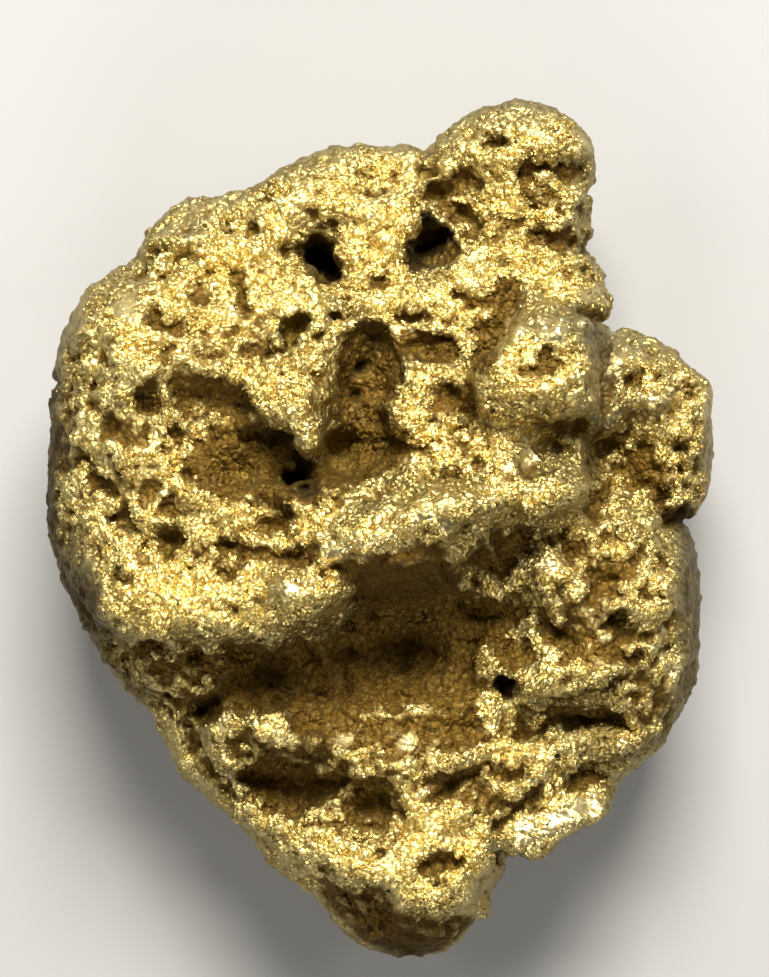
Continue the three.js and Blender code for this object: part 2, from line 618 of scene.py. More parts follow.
@dataclass
class Head(Region):
    """The knob and the neck below it."""

    name: str = "head"
    brow: Path = ((9.0, 25.4), (10.8, 25.9), (13.0, 26.3), (15.0, 26.4))
    groove: Path = ((3.9, 22.9), (5.0, 22.0), (6.4, 21.2))

    def large(self) -> list[Form]:
        """The brow of the knob, the crease under it and the swellings of the neck.

        Returns:
            The forms.
        """
        return [
            Ramp(self.brow, 3.0, 0.9, 1.2),
            Basin(
                (
                    (8.6, 25.0), (11.6, 25.3), (14.9, 25.6), (14.8, 23.8), (12.6, 24.4), (10.4, 23.2),
                    (9.2, 23.6),
                ),
                0.9,
            ),
            Dab((12.3, 23.3), (1.5, 0.9), -0.9, -10),
            Groove(((9.4, 20.7), (11.6, 20.3), (14.8, 19.8)), 1.8, 0.9),
            Ramp(((12.9, 15.6), (14.2, 15.5), (15.9, 14.9)), 2.0, 1.1, 0.7, Side.ALL),
            Groove(self.groove, 1.5, 1.4),
            Dab((5.2, 23.8), (2.1, 1.0), 0.6, 12),
            Groove(((14.6, 14.6), (16.0, 14.5), (17.6, 15.2)), 1.7, 2.0, side=Side.ALL),
            Groove(((14.2, 23.9), (16.0, 23.5)), 1.3, 0.8, side=Side.ALL),
            Groove(((5.0, 15.9), (6.4, 15.9), (7.2, 16.0)), 1.0, 0.8),
            Ramp(((5.2, 16.4), (7.0, 17.0), (8.8, 16.4)), 1.5, 0.5),
        ]

    def small(self) -> list[Form]:
        """Strips and pits on the knob.

        Returns:
            The forms.
        """
        return [
            Groove(((6.8, 26.8), (8.8, 26.9), (10.9, 26.5)), 1.1, 0.7),
            Dab((9.6, 24.5), (1.0, 0.8), 0.7),
            Dab((10.7, 28.6), (0.5, 0.4), 0.4),
            Dab((5.4, 27.0), (0.9, 0.5), 0.4),
            Dab((9.0, 20.8), (1.2, 0.6), 0.5, 30),
            Dab((12.4, 21.4), (0.5, 0.5), -0.5),
            Dab((10.4, 20.3), (0.5, 0.5), -0.4),
            Dab((4.8, 19.2), (1.3, 0.9), 0.6, 50),
            Dab((3.2, 23.6), (1.3, 1.0), 0.5),
            Dab((6.3, 22.8), (1.1, 0.7), 0.4, -20),
        ]

    def stain(self) -> list[Form]:
        """Stain under the knob and in the grooves of the neck.

        Returns:
            The patches.
        """
        return [
            Basin(
                ((8.8, 25.0), (15.1, 25.8), (15.0, 23.6), (12.8, 24.0), (11.0, 22.2), (9.0, 23.2)),
                0.55, 0.6,
            ),
            Dab((8.8, 26.8), (2.9, 0.9), 0.8),
            Dab((5.6, 24.0), (2.4, 1.6), 0.8),
            Dab((3.2, 23.5), (1.9, 1.2), 0.8),
            Dab((12.2, 20.2), (4.0, 1.7), 0.85, -8),
            Dab((12.8, 22.0), (2.6, 1.1), 0.6),
            Dab((13.2, 17.4), (2.6, 0.9), 0.55, -20),
            Dab((8.6, 20.7), (2.6, 1.4), 0.75, 20),
            Dab((10.8, 22.9), (2.2, 1.4), 0.8, profile=Profile.PIT),
            Dab((5.3, 21.8), (2.2, 1.2), 1.0, -35),
            Dab((9.8, 24.2), (1.2, 1.4), 0.9),
            Dab((4.8, 19.2), (1.6, 1.3), 0.75, 50),
            Dab((6.6, 15.9), (2.0, 0.8), 0.65),
        ]

    def worn(self) -> list[Form]:
        """The knob's right cheek, rubbed by its neighbours in the stream.

        Returns:
            The patches.
        """
        return [
            Dab((14.6, 26.6), (1.6, 2.6), 0.9),
            Dab((9.6, 29.0), (6.4, 1.9), 0.75),
            Dab((4.9, 26.6), (1.2, 2.0), 0.7, 30),
            Dab((6.4, 16.8), (1.8, 1.0), 0.7, 10),
            Dab((10.4, 15.6), (2.2, 1.0), 0.6),
        ]

    def polish_and_painted_highlight(self) -> list[Form]:
        """The end of the brow, and the spur of the neck."""
        return [Dab((14.0, 26.7), (1.3, 0.9), 1.0), Dab((14.3, 16.2), (1.6, 0.9), 1.0, -20)]


@dataclass
class Crown(Region):
    """The top left of the face, with its double pit and the folds behind the shoulder."""

    name: str = "crown"
    eye: Path = ((1.4, 18.4), (2.1, 19.7), (3.4, 20.5), (4.9, 20.8), (5.3, 20.0), (4.0, 18.8), (2.6, 18.1))

    def large(self) -> list[Form]:
        """The dish round the double pit, and the folds of the edge.

        Returns:
            The forms.
        """
        return [
            Basin(
                ((-7.2, 20.6), (-4.8, 22.3), (-2.0, 22.1), (-1.2, 20.2), (-3.0, 18.8), (-6.6, 19.0)),
                0.5, 1.2,
            ),
            Basin(((-5.1, 19.7), (-3.4, 19.9), (-2.8, 18.4), (-4.4, 17.7), (-5.4, 18.6)), 2.2, 0.5),
            Basin(((-6.6, 19.4), (-5.2, 19.6), (-4.8, 18.4), (-6.2, 18.3)), 1.3, 0.5),
            Basin(((-4.4, 18.2), (-2.2, 18.5), (-2.4, 17.0), (-4.0, 16.7)), 2.2, 0.5),
            Groove(((-17.6, 18.6), (-14.6, 18.2), (-11.4, 19.4), (-9.7, 23.2)), 1.6, 0.7, side=Side.ALL),
            Dab((-15.0, 19.2), (2.4, 1.0), -0.8, 10),
            Ramp(((-16.0, 19.8), (-13.2, 19.6), (-10.6, 20.8)), 3.0, 0.7),
            Groove(((-2.8, 24.2), (0.6, 24.0), (3.2, 25.0)), 1.3, 0.5),
            Ramp(((-1.4, 21.4), (0.4, 21.7), (2.0, 21.4)), 1.8, 0.7),
            Groove(((3.0, 26.9), (3.8, 24.6)), 1.3, 0.9, side=Side.ALL),
            Basin(self.eye, 2.6, 0.5),
            Groove(((1.4, 20.6), (2.8, 21.6), (5.0, 21.8)), 1.4, -0.8),
            Ramp(
                ((-9.0, 15.4), (-6.6, 15.7), (-4.0, 15.6), (-0.6, 15.6), (2.4, 16.0), (4.6, 16.8)),
                2.6, 0.6,
            ),
        ]

    def small(self) -> list[Form]:
        """Bits and pits of the top edge.

        Returns:
            The forms.
        """
        return [
            Dab((-4.0, 24.4), (1.3, 0.4), 0.5),
            Dab((-1.2, 24.5), (0.9, 0.5), 0.5),
            Dab((-1.3, 25.8), (0.6, 0.4), 0.4),
            Dab((-4.0, 23.1), (0.9, 0.4), 0.4),
            Dab((-8.0, 22.5), (0.8, 0.4), 0.35),
            Dab((0.3, 22.6), (1.0, 0.5), -0.4),
            Basin(
                ((-10.6, 18.4), (-9.2, 17.6), (-8.9, 16.0), (-8.3, 14.2), (-9.4, 15.0), (-10.2, 16.8)),
                0.9, 0.5,
            ),
            Dab((-13.6, 20.8), (0.7, 0.5), 0.7),
            Dab((-8.0, 12.4), (0.6, 1.0), 0.9, -20, Profile.PIT),
            Groove(((-7.0, 12.5), (-6.7, 13.9), (-5.4, 14.2)), 1.1, 1.4, Profile.PIT),
            Dab((-4.0, 13.4), (0.8, 0.6), 1.1, profile=Profile.PIT),
            Dab((-3.3, 14.5), (0.6, 0.4), 0.5, profile=Profile.PIT),
            Dab((-10.4, 13.4), (0.9, 0.5), 0.6),
            Dab((-0.4, 19.6), (0.4, 0.9), 0.5),
            Dab((-0.4, 16.4), (0.9, 0.5), 0.4),
            Dab((-12.6, 17.8), (1.0, 0.8), -0.5),
            Dab((2.8, 14.7), (1.0, 0.7), 0.6),
            Dab((4.3, 15.2), (0.6, 0.5), -0.5),
            Dab((5.6, 14.4), (0.7, 0.6), -0.5, 30),
        ]

    def stain(self) -> list[Form]:
        """Stain in the pits.

        Returns:
            The patches.
        """
        return [
            Basin(
                ((-5.4, 19.8), (-3.2, 20.0), (-2.2, 18.4), (-2.4, 16.8), (-4.2, 16.6), (-5.4, 18.4)),
                1.0, 0.5,
            ),
            Dab((-5.8, 19.0), (1.3, 0.9), 0.8),
            Dab((-4.2, 21.0), (4.0, 1.5), 0.3, -6),
            Basin(self.eye, 1.3, 0.4),
            Dab((5.0, 19.0), (1.8, 1.2), 0.9, 35),
            Basin(
                ((-10.8, 18.4), (-9.0, 17.6), (-8.5, 15.8), (-8.0, 14.0), (-9.6, 14.8), (-10.4, 16.8)),
                0.8, 0.5,
            ),
            Dab((-6.3, 13.6), (1.4, 1.3), 0.95, 40),
            Dab((-3.9, 13.5), (1.0, 0.8), 0.7),
            Dab((-4.0, 24.4), (1.8, 0.7), 0.6),
            Dab((-4.0, 23.2), (1.2, 0.6), 0.55),
            Dab((-1.2, 24.4), (1.1, 0.5), 0.6),
            Dab((-8.2, 12.7), (0.9, 1.4), 0.8, -20),
            Dab((-10.6, 13.4), (1.3, 0.7), 0.7),
            Dab((-13.6, 20.8), (0.7, 0.5), 0.7),
            Dab((3.0, 14.7), (1.3, 1.1), 0.75),
            Dab((-0.4, 16.6), (1.0, 0.7), 0.5),
            Dab((-8.0, 22.5), (1.0, 0.5), 0.5),
        ]

    def worn(self) -> list[Form]:
        """The smooth dish above the pit.

        Returns:
            The patches.
        """
        return [
            Dab((-4.0, 21.2), (4.2, 1.8), 0.4, -6),
            Dab((-13.0, 20.9), (3.4, 2.2), 0.75, 20),
            Dab((-12.3, 16.0), (1.7, 1.4), 0.9),
            Dab((-4.6, 24.9), (4.6, 1.3), 0.6, 14),
        ]

    def pitch(self) -> list[Form]:
        """Painted shade in the eye, the double pit and the little caves below it.

        Returns:
            The patches.
        """
        return [
            Basin(self.eye, 1.2, 0.3),
            Basin(((-5.2, 19.5), (-3.5, 19.7), (-2.9, 18.5), (-4.4, 17.8), (-5.3, 18.6)), 0.95, 0.4),
            Basin(((-6.5, 19.3), (-5.3, 19.4), (-5.0, 18.5), (-6.1, 18.4)), 0.8, 0.4),
            Basin(((-4.3, 18.2), (-2.3, 18.4), (-2.5, 17.1), (-3.9, 16.8)), 1.0, 0.4),
            Dab((-6.6, 13.1), (0.7, 0.9), 0.9, 30, Profile.PIT),
            Dab((-7.9, 12.5), (0.5, 0.8), 0.8, -20, Profile.PIT),
        ]


@dataclass
class Shoulder(Region):
    """The big rounded lobe of the upper left, and the pitted flank below it."""

    name: str = "shoulder"
    brow: Path = ((-20.6, 13.6), (-18.4, 12.9), (-16.6, 13.8))

    def large(self) -> list[Form]:
        """The lobe's creases and the flank's hollows.

        Returns:
            The forms.
        """
        return [
            Ramp(self.brow, 3.0, 0.8),
            Basin(((-17.0, 15.0), (-15.0, 15.3), (-14.8, 14.0), (-16.2, 14.1)), 1.3, 0.7),
            Groove(((-15.0, 14.2), (-14.6, 12.8), (-14.5, 11.2)), 0.9, 1.0),
            Dab((-12.3, 16.0), (2.0, 1.6), 0.8),
            Ramp(((-18.4, 10.6), (-16.4, 10.9), (-15.0, 11.2)), 2.2, 0.6),
            Basin(((-16.6, 10.4), (-15.0, 10.6), (-14.4, 8.6), (-15.6, 7.8), (-16.4, 8.8)), 1.6, 0.8),
            Basin(((-19.9, 6.9), (-18.3, 8.4), (-17.4, 7.8), (-17.5, 6.2), (-19.2, 5.8)), 0.9, 0.9),
            Basin(((-17.3, 6.9), (-15.4, 7.0), (-15.2, 5.8), (-16.8, 5.7)), 1.2, 0.6),
            Ramp(((-22.4, 8.2), (-20.8, 6.2), (-18.8, 5.0), (-16.6, 4.4), (-14.0, 4.2)), 2.2, 0.7),
            Dab((-18.8, 3.0), (2.0, 1.4), 1.0, -20),
            Dab((-17.6, 0.6), (1.2, 1.6), 1.0),
            Dab((-16.2, 3.0), (0.9, 0.9), 0.8),
            Ramp(((-20.6, 0.8), (-18.6, -0.6), (-17.4, -3.4)), 1.6, 0.5),
            Basin(((-15.2, 1.0), (-13.8, 0.6), (-13.8, -1.2), (-15.0, -2.4), (-15.6, -1.0)), 1.2, 0.7),
            Ramp(((-16.6, 1.0), (-14.2, 0.2), (-12.0, 0.3), (-10.8, -0.2)), 1.8, 0.7),
            Groove(((-22.9, 10.3), (-20.6, 9.9), (-18.4, 10.2)), 1.0, 0.6, side=Side.ALL),
        ]

    def small(self) -> list[Form]:
        """Small pits and flecks.

        Returns:
            The forms.
        """
        return [
            Dab((-21.0, 12.0), (0.9, 0.7), 0.8),
            Dab((-18.9, 11.4), (0.8, 0.7), 0.7),
            Dab((-19.6, 10.4), (0.6, 0.5), 0.5),
            Dab((-13.8, 13.7), (1.0, 0.8), 0.8),
            Dab((-20.2, 9.0), (0.7, 0.6), 0.5),
            Dab((-19.2, 16.6), (0.6, 0.5), 0.4),
            Dab((-10.6, -1.1), (0.8, 0.5), 0.9, profile=Profile.PIT),
            Dab((-9.8, -1.6), (0.9, 0.8), 0.7, profile=Profile.PIT),
            Groove(((-14.4, 12.0), (-12.6, 12.2), (-11.6, 11.4)), 0.7, 0.5),
            Dab((-20.4, 4.6), (0.8, 0.6), 0.4),
            Dab((-13.0, 3.4), (0.9, 0.7), -0.5),
            Dab((-13.4, 1.4), (1.0, 0.5), 0.5),
            Dab((-9.2, 12.0), (0.8, 0.6), 0.6),
            Dab((-11.4, 13.6), (0.8, 0.6), 0.5),
        ]

    def stain(self) -> list[Form]:
        """Stain in the flank's hollows.

        Returns:
            The patches.
        """
        return [
            Basin(((-17.2, 15.0), (-14.9, 15.5), (-14.6, 13.8), (-16.2, 13.9)), 0.8, 0.5),
            Dab((-13.8, 13.6), (1.4, 1.1), 0.75),
            Basin(((-16.8, 10.6), (-14.8, 10.8), (-14.0, 8.4), (-15.6, 7.6), (-16.6, 8.8)), 1.0, 0.6),
            Basin(((-17.4, 7.1), (-15.2, 7.2), (-15.0, 5.6), (-17.0, 5.5)), 0.9, 0.5),
            Dab((-18.8, 3.0), (2.4, 1.7), 0.85),
            Dab((-17.6, 0.8), (1.4, 1.8), 0.9),
            Dab((-16.2, 3.0), (0.9, 1.2), 0.8),
            Basin(((-15.6, 1.2), (-13.4, 0.8), (-13.2, -1.2), (-14.8, -2.8), (-16.2, -1.0)), 0.95, 0.6),
            Dab((-10.2, -1.5), (2.0, 1.2), 0.95),
            Dab((-21.0, 12.0), (0.9, 0.7), 0.7),
            Dab((-18.9, 11.4), (0.9, 0.8), 0.75),
            Dab((-17.0, -3.8), (1.2, 1.0), 0.6),
            Dab((-12.4, 13.1), (1.6, 0.6), 0.5),
            Dab((-22.6, 4.0), (4.4, 11.0), 0.62),
            Dab((-17.0, 4.0), (4.6, 7.4), 0.42),
            Dab((-16.8, 7.7), (2.6, 1.7), 0.7),
            # Painted shade: this patch darkens the strip below the shelf's edge.
            Dab((-13.6, 8.5), (3.0, 1.1), 0.85, profile=Profile.PIT),
            Dab((-12.4, -1.6), (1.4, 1.3), 0.75, profile=Profile.PIT),
            Dab((-12.4, 12.4), (1.8, 1.2), 0.5),
            Dab((-20.0, -4.4), (2.8, 4.4), 0.7, 24),
        ]

    def worn(self) -> list[Form]:
        """The outer edge, rubbed grey and smooth.

        Returns:
            The patches.
        """
        return [
            Dab((-22.0, 13.0), (1.6, 4.4), 0.9, -12),
            Dab((-22.8, 4.0), (1.7, 6.0), 0.9),
            Dab((-20.4, -3.0), (1.9, 4.0), 1.1, 22),
            Dab((-18.5, 7.0), (1.7, 1.6), 0.9),
            Dab((-12.2, 10.3), (3.0, 1.1), 0.75),
        ]

    def pitch(self) -> list[Form]:
        """Painted shade along the outer edge."""
        return [
            Groove(((-23.2, 10.0), (-23.6, 4.0), (-22.4, -2.0), (-20.0, -7.0), (-17.4, -10.6)), 5.6, 0.45),
        ]

    def polish_and_painted_highlight(self) -> list[Form]:
        """The top of the lobe.

        Returns:
            The patches.
        """
        return [
            Dab((-17.4, 15.2), (1.2, 1.6), 0.8, -20),
            Dab((-17.2, 12.2), (1.6, 0.9), 0.9, -30),
            Dab((-13.2, 18.6), (2.4, 1.1), 0.7, 10),
            Dab((-19.8, 14.2), (1.2, 1.8), 0.6, -20),
        ]


@dataclass
class Cavities(Region):
    """The chimney and the slot, the two joined hollows in the middle of the upper face."""

    name: str = "cavities"
    chimney: Path = (
        (-1.8, 14.6), (0.5, 14.5), (1.5, 12.6), (1.8, 10.2), (0.5, 8.6), (0.4, 6.8), (2.4, 6.0), (1.4, 4.2),
        (-2.0, 2.8), (-3.9, 4.2), (-3.8, 6.0), (-3.3, 8.4), (-3.0, 11.0), (-3.0, 13.2),
    )
    slot: Path = (
        (-14.0, 4.8), (-12.6, 5.9), (-11.6, 7.6), (-8.8, 7.8), (-7.4, 6.7), (-5.6, 5.1), (-3.2, 4.9),
        (-2.2, 3.4), (-4.6, 1.4), (-7.0, 1.0), (-8.9, 2.5), (-10.7, 1.0), (-12.0, 2.8),
    )
    shelf: Path = (
        (-14.6, 10.6), (-11.0, 11.1), (-8.9, 10.0), (-7.8, 8.2), (-8.6, 7.4), (-12.2, 7.6), (-14.2, 8.8),
    )

    def large(self) -> list[Form]:
        """The hollows, the shelf above the slot and the prong between them.

        Returns:
            The forms.
        """
        return [
            Basin(self.shelf, 0.9, 1.0),
            Basin(self.slot, -1.6, 1.1),
            Basin(self.chimney, 1.1, 0.6),
            Ramp(((-8.2, 8.6), (-6.9, 6.9), (-4.9, 5.9), (-4.2, 7.0)), 3.0, 1.5, 0.6),
            Dab((-5.6, 9.4), (1.5, 1.6), -0.6, 30),
            Dab((-5.1, 6.9), (1.4, 2.2), -1.6, 20),
            Basin(((1.2, 13.7), (4.6, 13.4), (5.3, 12.0), (3.0, 11.5), (1.6, 12.0)), 1.5, 0.6),
            Ramp(((2.6, 9.8), (4.0, 10.3), (5.2, 9.6)), 1.9, 0.7),
            Ramp(((0.2, 7.5), (1.6, 7.7), (3.2, 7.9)), 1.3, 0.8),
            Ramp(((-13.6, 4.4), (-12.0, 2.1), (-10.9, 0.6)), 1.6, 0.4),
            Groove(((5.2, 10.6), (6.3, 9.0), (5.8, 7.4)), 1.2, 0.7),
            Ramp(((5.6, 4.9), (8.0, 5.3), (10.4, 5.2)), 1.8, 0.6, 1.2),
        ]

    def small(self) -> list[Form]:
        """Deep spots on the floors, and teeth on the lips.

        Returns:
            The forms.
        """
        return [
            Dab((-1.6, 11.2), (0.9, 0.7), 1.0, profile=Profile.PIT),
            Dab((-1.8, 9.0), (0.6, 1.0), 0.9, profile=Profile.PIT),
            Dab((-0.4, 13.4), (0.9, 0.6), 0.6),
            Basin(((-6.3, 3.2), (-5.3, 3.8), (-4.2, 4.0), (-4.3, 2.8), (-5.0, 2.0), (-6.1, 2.4)), 1.6, 0.45),
            Dab((-6.4, 4.4), (0.6, 0.5), -0.8),
            Dab((-4.8, 3.0), (0.5, 0.4), -0.7),
            Dab((-9.0, 4.5), (0.6, 0.8), 0.9, profile=Profile.PIT),
            Dab((-12.3, 4.6), (1.3, 0.6), 0.9, -14, Profile.PIT),
            Groove(((-11.6, 6.2), (-9.0, 6.4), (-6.4, 6.2)), 1.0, 0.8),
            Dab((-8.9, 2.2), (0.6, 0.6), -0.5),
            Dab((-12.2, 2.6), (0.6, 0.6), -0.4),
            Dab((-6.0, 8.2), (0.8, 0.7), -0.5),
            Dab((-4.7, 7.0), (0.6, 0.6), -0.5),
            Dab((-7.9, 9.4), (0.5, 0.8), -0.5, 20),
            Dab((1.1, 8.2), (0.6, 0.5), -0.5),
            Dab((2.7, 8.4), (0.4, 0.4), -0.4),
            Dab((0.3, 6.2), (0.8, 0.4), 0.7),
            Dab((2.9, 5.7), (0.9, 0.4), 0.6),
            Dab((-4.2, 10.3), (0.5, 0.6), 0.5),
            Dab((-11.6, 10.9), (0.6, 0.4), -0.3),
        ]

    def stain(self) -> list[Form]:
        """The hollows are brown all through.

        Returns:
            The patches.
        """
        return [
            Basin(self.chimney, 1.3, 0.5),
            Basin(self.slot, 1.3, 0.5),
            Basin(self.shelf, 0.75, 0.9),
            Basin(((0.8, 13.9), (4.9, 13.6), (5.7, 11.8), (3.0, 11.2), (1.2, 11.6)), 1.15, 0.4),
            Dab((0.3, 12.8), (1.2, 1.8), 0.9),
            Basin(((3.0, 9.2), (4.7, 10.9), (7.2, 9.8), (7.2, 8.2), (5.0, 6.8), (2.8, 7.4)), 0.75, 0.8),
            Dab((2.8, 5.7), (2.2, 0.7), 0.8, 10),
            Dab((6.0, 4.4), (1.8, 0.6), 0.55, 10),
            Dab((8.8, 4.2), (0.8, 0.6), 0.6),
            Dab((-4.2, 10.2), (0.8, 1.0), 0.6),
        ]

    def worn(self) -> list[Form]:
        """The shelf above the slot is matte and even."""
        return [Basin(self.shelf, 0.45, 1.2)]

    def polish_and_painted_highlight(self) -> list[Form]:
        """The prong between the hollows."""
        return [Dab((-5.0, 7.2), (1.5, 2.2), 1.0, 20), Dab((-6.4, 10.0), (1.0, 1.0), 0.5)]

    def pitch(self) -> list[Form]:
        """Painted shade as black spots on the floors.

        Returns:
            The patches.
        """
        return [
            Basin(((-6.4, 3.2), (-5.3, 3.9), (-4.1, 4.0), (-4.2, 2.7), (-5.0, 1.9), (-6.2, 2.3)), 0.85, 0.4),
            Dab((-1.7, 11.1), (0.9, 0.7), 0.8, profile=Profile.PIT),
            Dab((-2.0, 8.9), (0.6, 0.9), 0.7, profile=Profile.PIT),
            Dab((-0.8, 13.2), (1.4, 1.2), 0.5),
            Basin(
                ((-13.6, 5.2), (-11.6, 7.0), (-7.4, 7.0), (-5.2, 5.2), (-8.6, 4.8), (-12.2, 3.8)),
                0.1, 0.8,
            ),
        ]


@dataclass
class Boss(Region):
    """The round boss right of the middle, with a small crater on it and ears beside it."""

    name: str = "boss"
    arc: Path = ((13.4, 14.6), (14.9, 13.2), (15.6, 11.0), (15.8, 8.6), (14.9, 6.8))
    seam: Path = ((14.9, 14.9), (15.6, 12.6), (15.9, 10.4), (15.8, 8.6), (15.2, 6.6))
    ring: Path = (
        (8.8, 11.2), (9.8, 12.9), (11.8, 13.1), (13.1, 11.6), (12.6, 9.7), (10.8, 9.1), (9.3, 9.8),
        (8.8, 11.2),
    )

    def large(self) -> list[Form]:
        """The crater, the grooves round the boss, and the ears' folds.

        Returns:
            The forms.
        """
        return [
            Dab((11.6, 11.4), (5.0, 5.2), -0.5),
            Dab((7.8, 9.8), (2.6, 2.8), -1.1),
            Dab((9.6, 6.0), (3.4, 2.4), -0.7),
            Basin(
                ((14.8, 13.0), (16.6, 13.2), (17.2, 11.0), (17.0, 7.0), (15.6, 5.6), (14.8, 7.0)),
                -1.5, 0.7,
            ),
            Basin(((16.2, 6.2), (19.8, 6.0), (20.6, 3.0), (18.8, 1.6), (16.4, 3.2)), -1.4, 1.2),
            Dab((10.9, 11.1), (2.0, 1.5), 1.1, 10),
            Groove(self.ring, 1.5, -0.55),
            Groove(((8.9, 16.9), (8.3, 15.2), (7.5, 13.4), (7.2, 11.6)), 1.7, 1.5),
            Groove(self.arc, 1.3, -0.5, side=Side.FACE),
            Basin(((10.2, 8.0), (12.6, 8.2), (14.8, 7.6), (14.6, 6.4), (12.6, 6.2), (11.0, 6.6)), 0.8, 0.9),
            Ramp(((17.0, 8.6), (18.4, 8.9), (19.8, 9.8)), 2.4, 0.8),
            Groove(((18.2, 13.0), (18.4, 12.0), (18.7, 10.2)), 0.9, 1.3),
            Groove(((19.8, 11.6), (20.1, 10.0), (20.0, 8.0), (20.2, 5.0)), 1.0, 1.3),
            Dab((18.4, 8.8), (3.8, 5.6), -0.6),
            Dab((17.2, 11.6), (1.6, 2.2), -0.7),
            Dab((21.4, 9.0), (1.5, 2.6), -0.7),
            Basin(
                ((16.4, 5.6), (18.6, 6.0), (19.9, 5.2), (20.6, 2.6), (19.2, 1.0), (17.6, 2.6), (16.0, 4.0)),
                0.2, 1.0,
            ),
            Ramp(((16.8, -0.2), (18.0, 0.0), (18.9, 1.0)), 2.2, 1.2),
            Groove(((20.0, 0.9), (22.2, 0.4)), 1.5, 1.2, side=Side.ALL),
            Ramp(((20.6, 5.6), (21.6, 5.9), (22.6, 6.4)), 2.0, 0.7),
        ]

    def small(self) -> list[Form]:
        """Details of the boss and the ears.

        Returns:
            The forms.
        """
        return [
            Dab((21.5, 9.8), (1.0, 0.8), 0.7),
            Dab((21.8, 7.2), (0.5, 0.7), 0.5),
            Dab((17.3, 11.2), (0.7, 1.0), 0.5),
            Dab((18.9, 7.2), (0.5, 0.4), -0.5),
            Dab((9.8, 12.0), (1.2, 0.4), 0.4),
            Dab((9.3, 13.4), (0.6, 0.7), -0.5),
            Dab((11.7, 13.3), (1.0, 0.8), -0.6),
            Dab((14.0, 14.1), (0.7, 0.7), -0.5),
            Dab((11.0, 10.4), (0.5, 0.4), -0.35),
            Dab((10.0, 8.6), (0.8, 0.5), 0.5),
            Dab((21.7, 3.6), (0.4, 0.7), -0.4),
            Dab((17.0, 6.9), (1.0, 0.8), 0.5),
            Dab((15.4, 3.5), (0.5, 0.7), -0.7),
            Dab((15.9, 4.8), (0.5, 0.4), -0.5),
            Dab((9.0, 6.8), (0.7, 0.5), -0.4),
            Dab((7.2, 7.3), (0.6, 0.5), -0.5),
            Dab((8.6, 4.4), (0.5, 0.5), 0.5),
        ]

    def stain(self) -> list[Form]:
        """Stain below the boss and between the ears.

        Returns:
            The patches.
        """
        return [
            Basin(((9.8, 7.8), (12.6, 8.4), (15.2, 7.7), (15.0, 6.4), (12.6, 6.2), (11.0, 6.6)), 0.7, 0.6),
            Dab((10.9, 11.1), (1.9, 1.4), 0.9, 10),
            Groove(((8.7, 16.7), (8.2, 15.2), (7.3, 13.4), (7.0, 11.4)), 2.6, 1.4, Profile.PIT),
            Basin(
                ((16.6, 5.6), (18.8, 6.0), (20.2, 5.0), (21.4, 2.4), (19.4, 1.2), (18.0, 2.4), (16.4, 4.0)),
                0.7, 0.6,
            ),
            Dab((21.9, 4.0), (1.6, 1.8), 0.8),
            Dab((20.6, 1.2), (1.8, 1.2), 0.9),
            Dab((17.3, 11.0), (0.8, 1.2), 0.6, profile=Profile.PIT),
            Dab((21.8, 7.2), (0.7, 0.9), 0.8),
            Dab((21.5, 9.8), (1.3, 1.0), 0.75),
            Groove(self.seam, 0.7, 0.5),
            Dab((10.0, 8.6), (1.4, 0.7), 0.5),
        ]

    def worn(self) -> list[Form]:
        """The boss's right side is rubbed smooth.

        Returns:
            The patches.
        """
        return [
            Groove(self.arc, 3.4, 1.2),
            Dab((11.2, 14.2), (4.6, 2.0), 0.7),
            Dab((18.0, 8.4), (2.9, 1.7), 0.95, 8, Profile.PIT),
            Dab((12.2, 6.6), (2.8, 1.4), 0.6),
            Dab((23.0, 6.0), (1.1, 4.6), 1.0),
            Dab((17.0, 2.2), (1.0, 2.0), 0.6),
            Dab((17.9, 4.6), (1.6, 1.2), 0.7),
        ]

    def pitch(self) -> list[Form]:
        """Shade under the left ear's fold."""
        return [Dab((18.2, 7.0), (2.2, 1.0), 0.35)]

    def polish_and_painted_highlight(self) -> list[Form]:
        """The boss's brow.

        Returns:
            The patches.
        """
        return [
            Dab((9.2, 13.5), (1.1, 1.2), 1.2),
            Dab((11.5, 13.6), (1.8, 1.3), 1.2),
            Dab((9.9, 5.1), (2.6, 1.1), 0.9),
            Dab((14.0, 14.1), (1.0, 0.8), 0.9, -30),
            Dab((18.4, 9.0), (1.8, 0.8), 0.9, 20),
            Dab((16.8, 11.6), (1.0, 1.6), 0.9),
            Dab((9.0, 6.8), (1.2, 2.2), 0.6, 40),
            Dab((22.4, 8.4), (0.7, 1.6), 0.6),
        ]


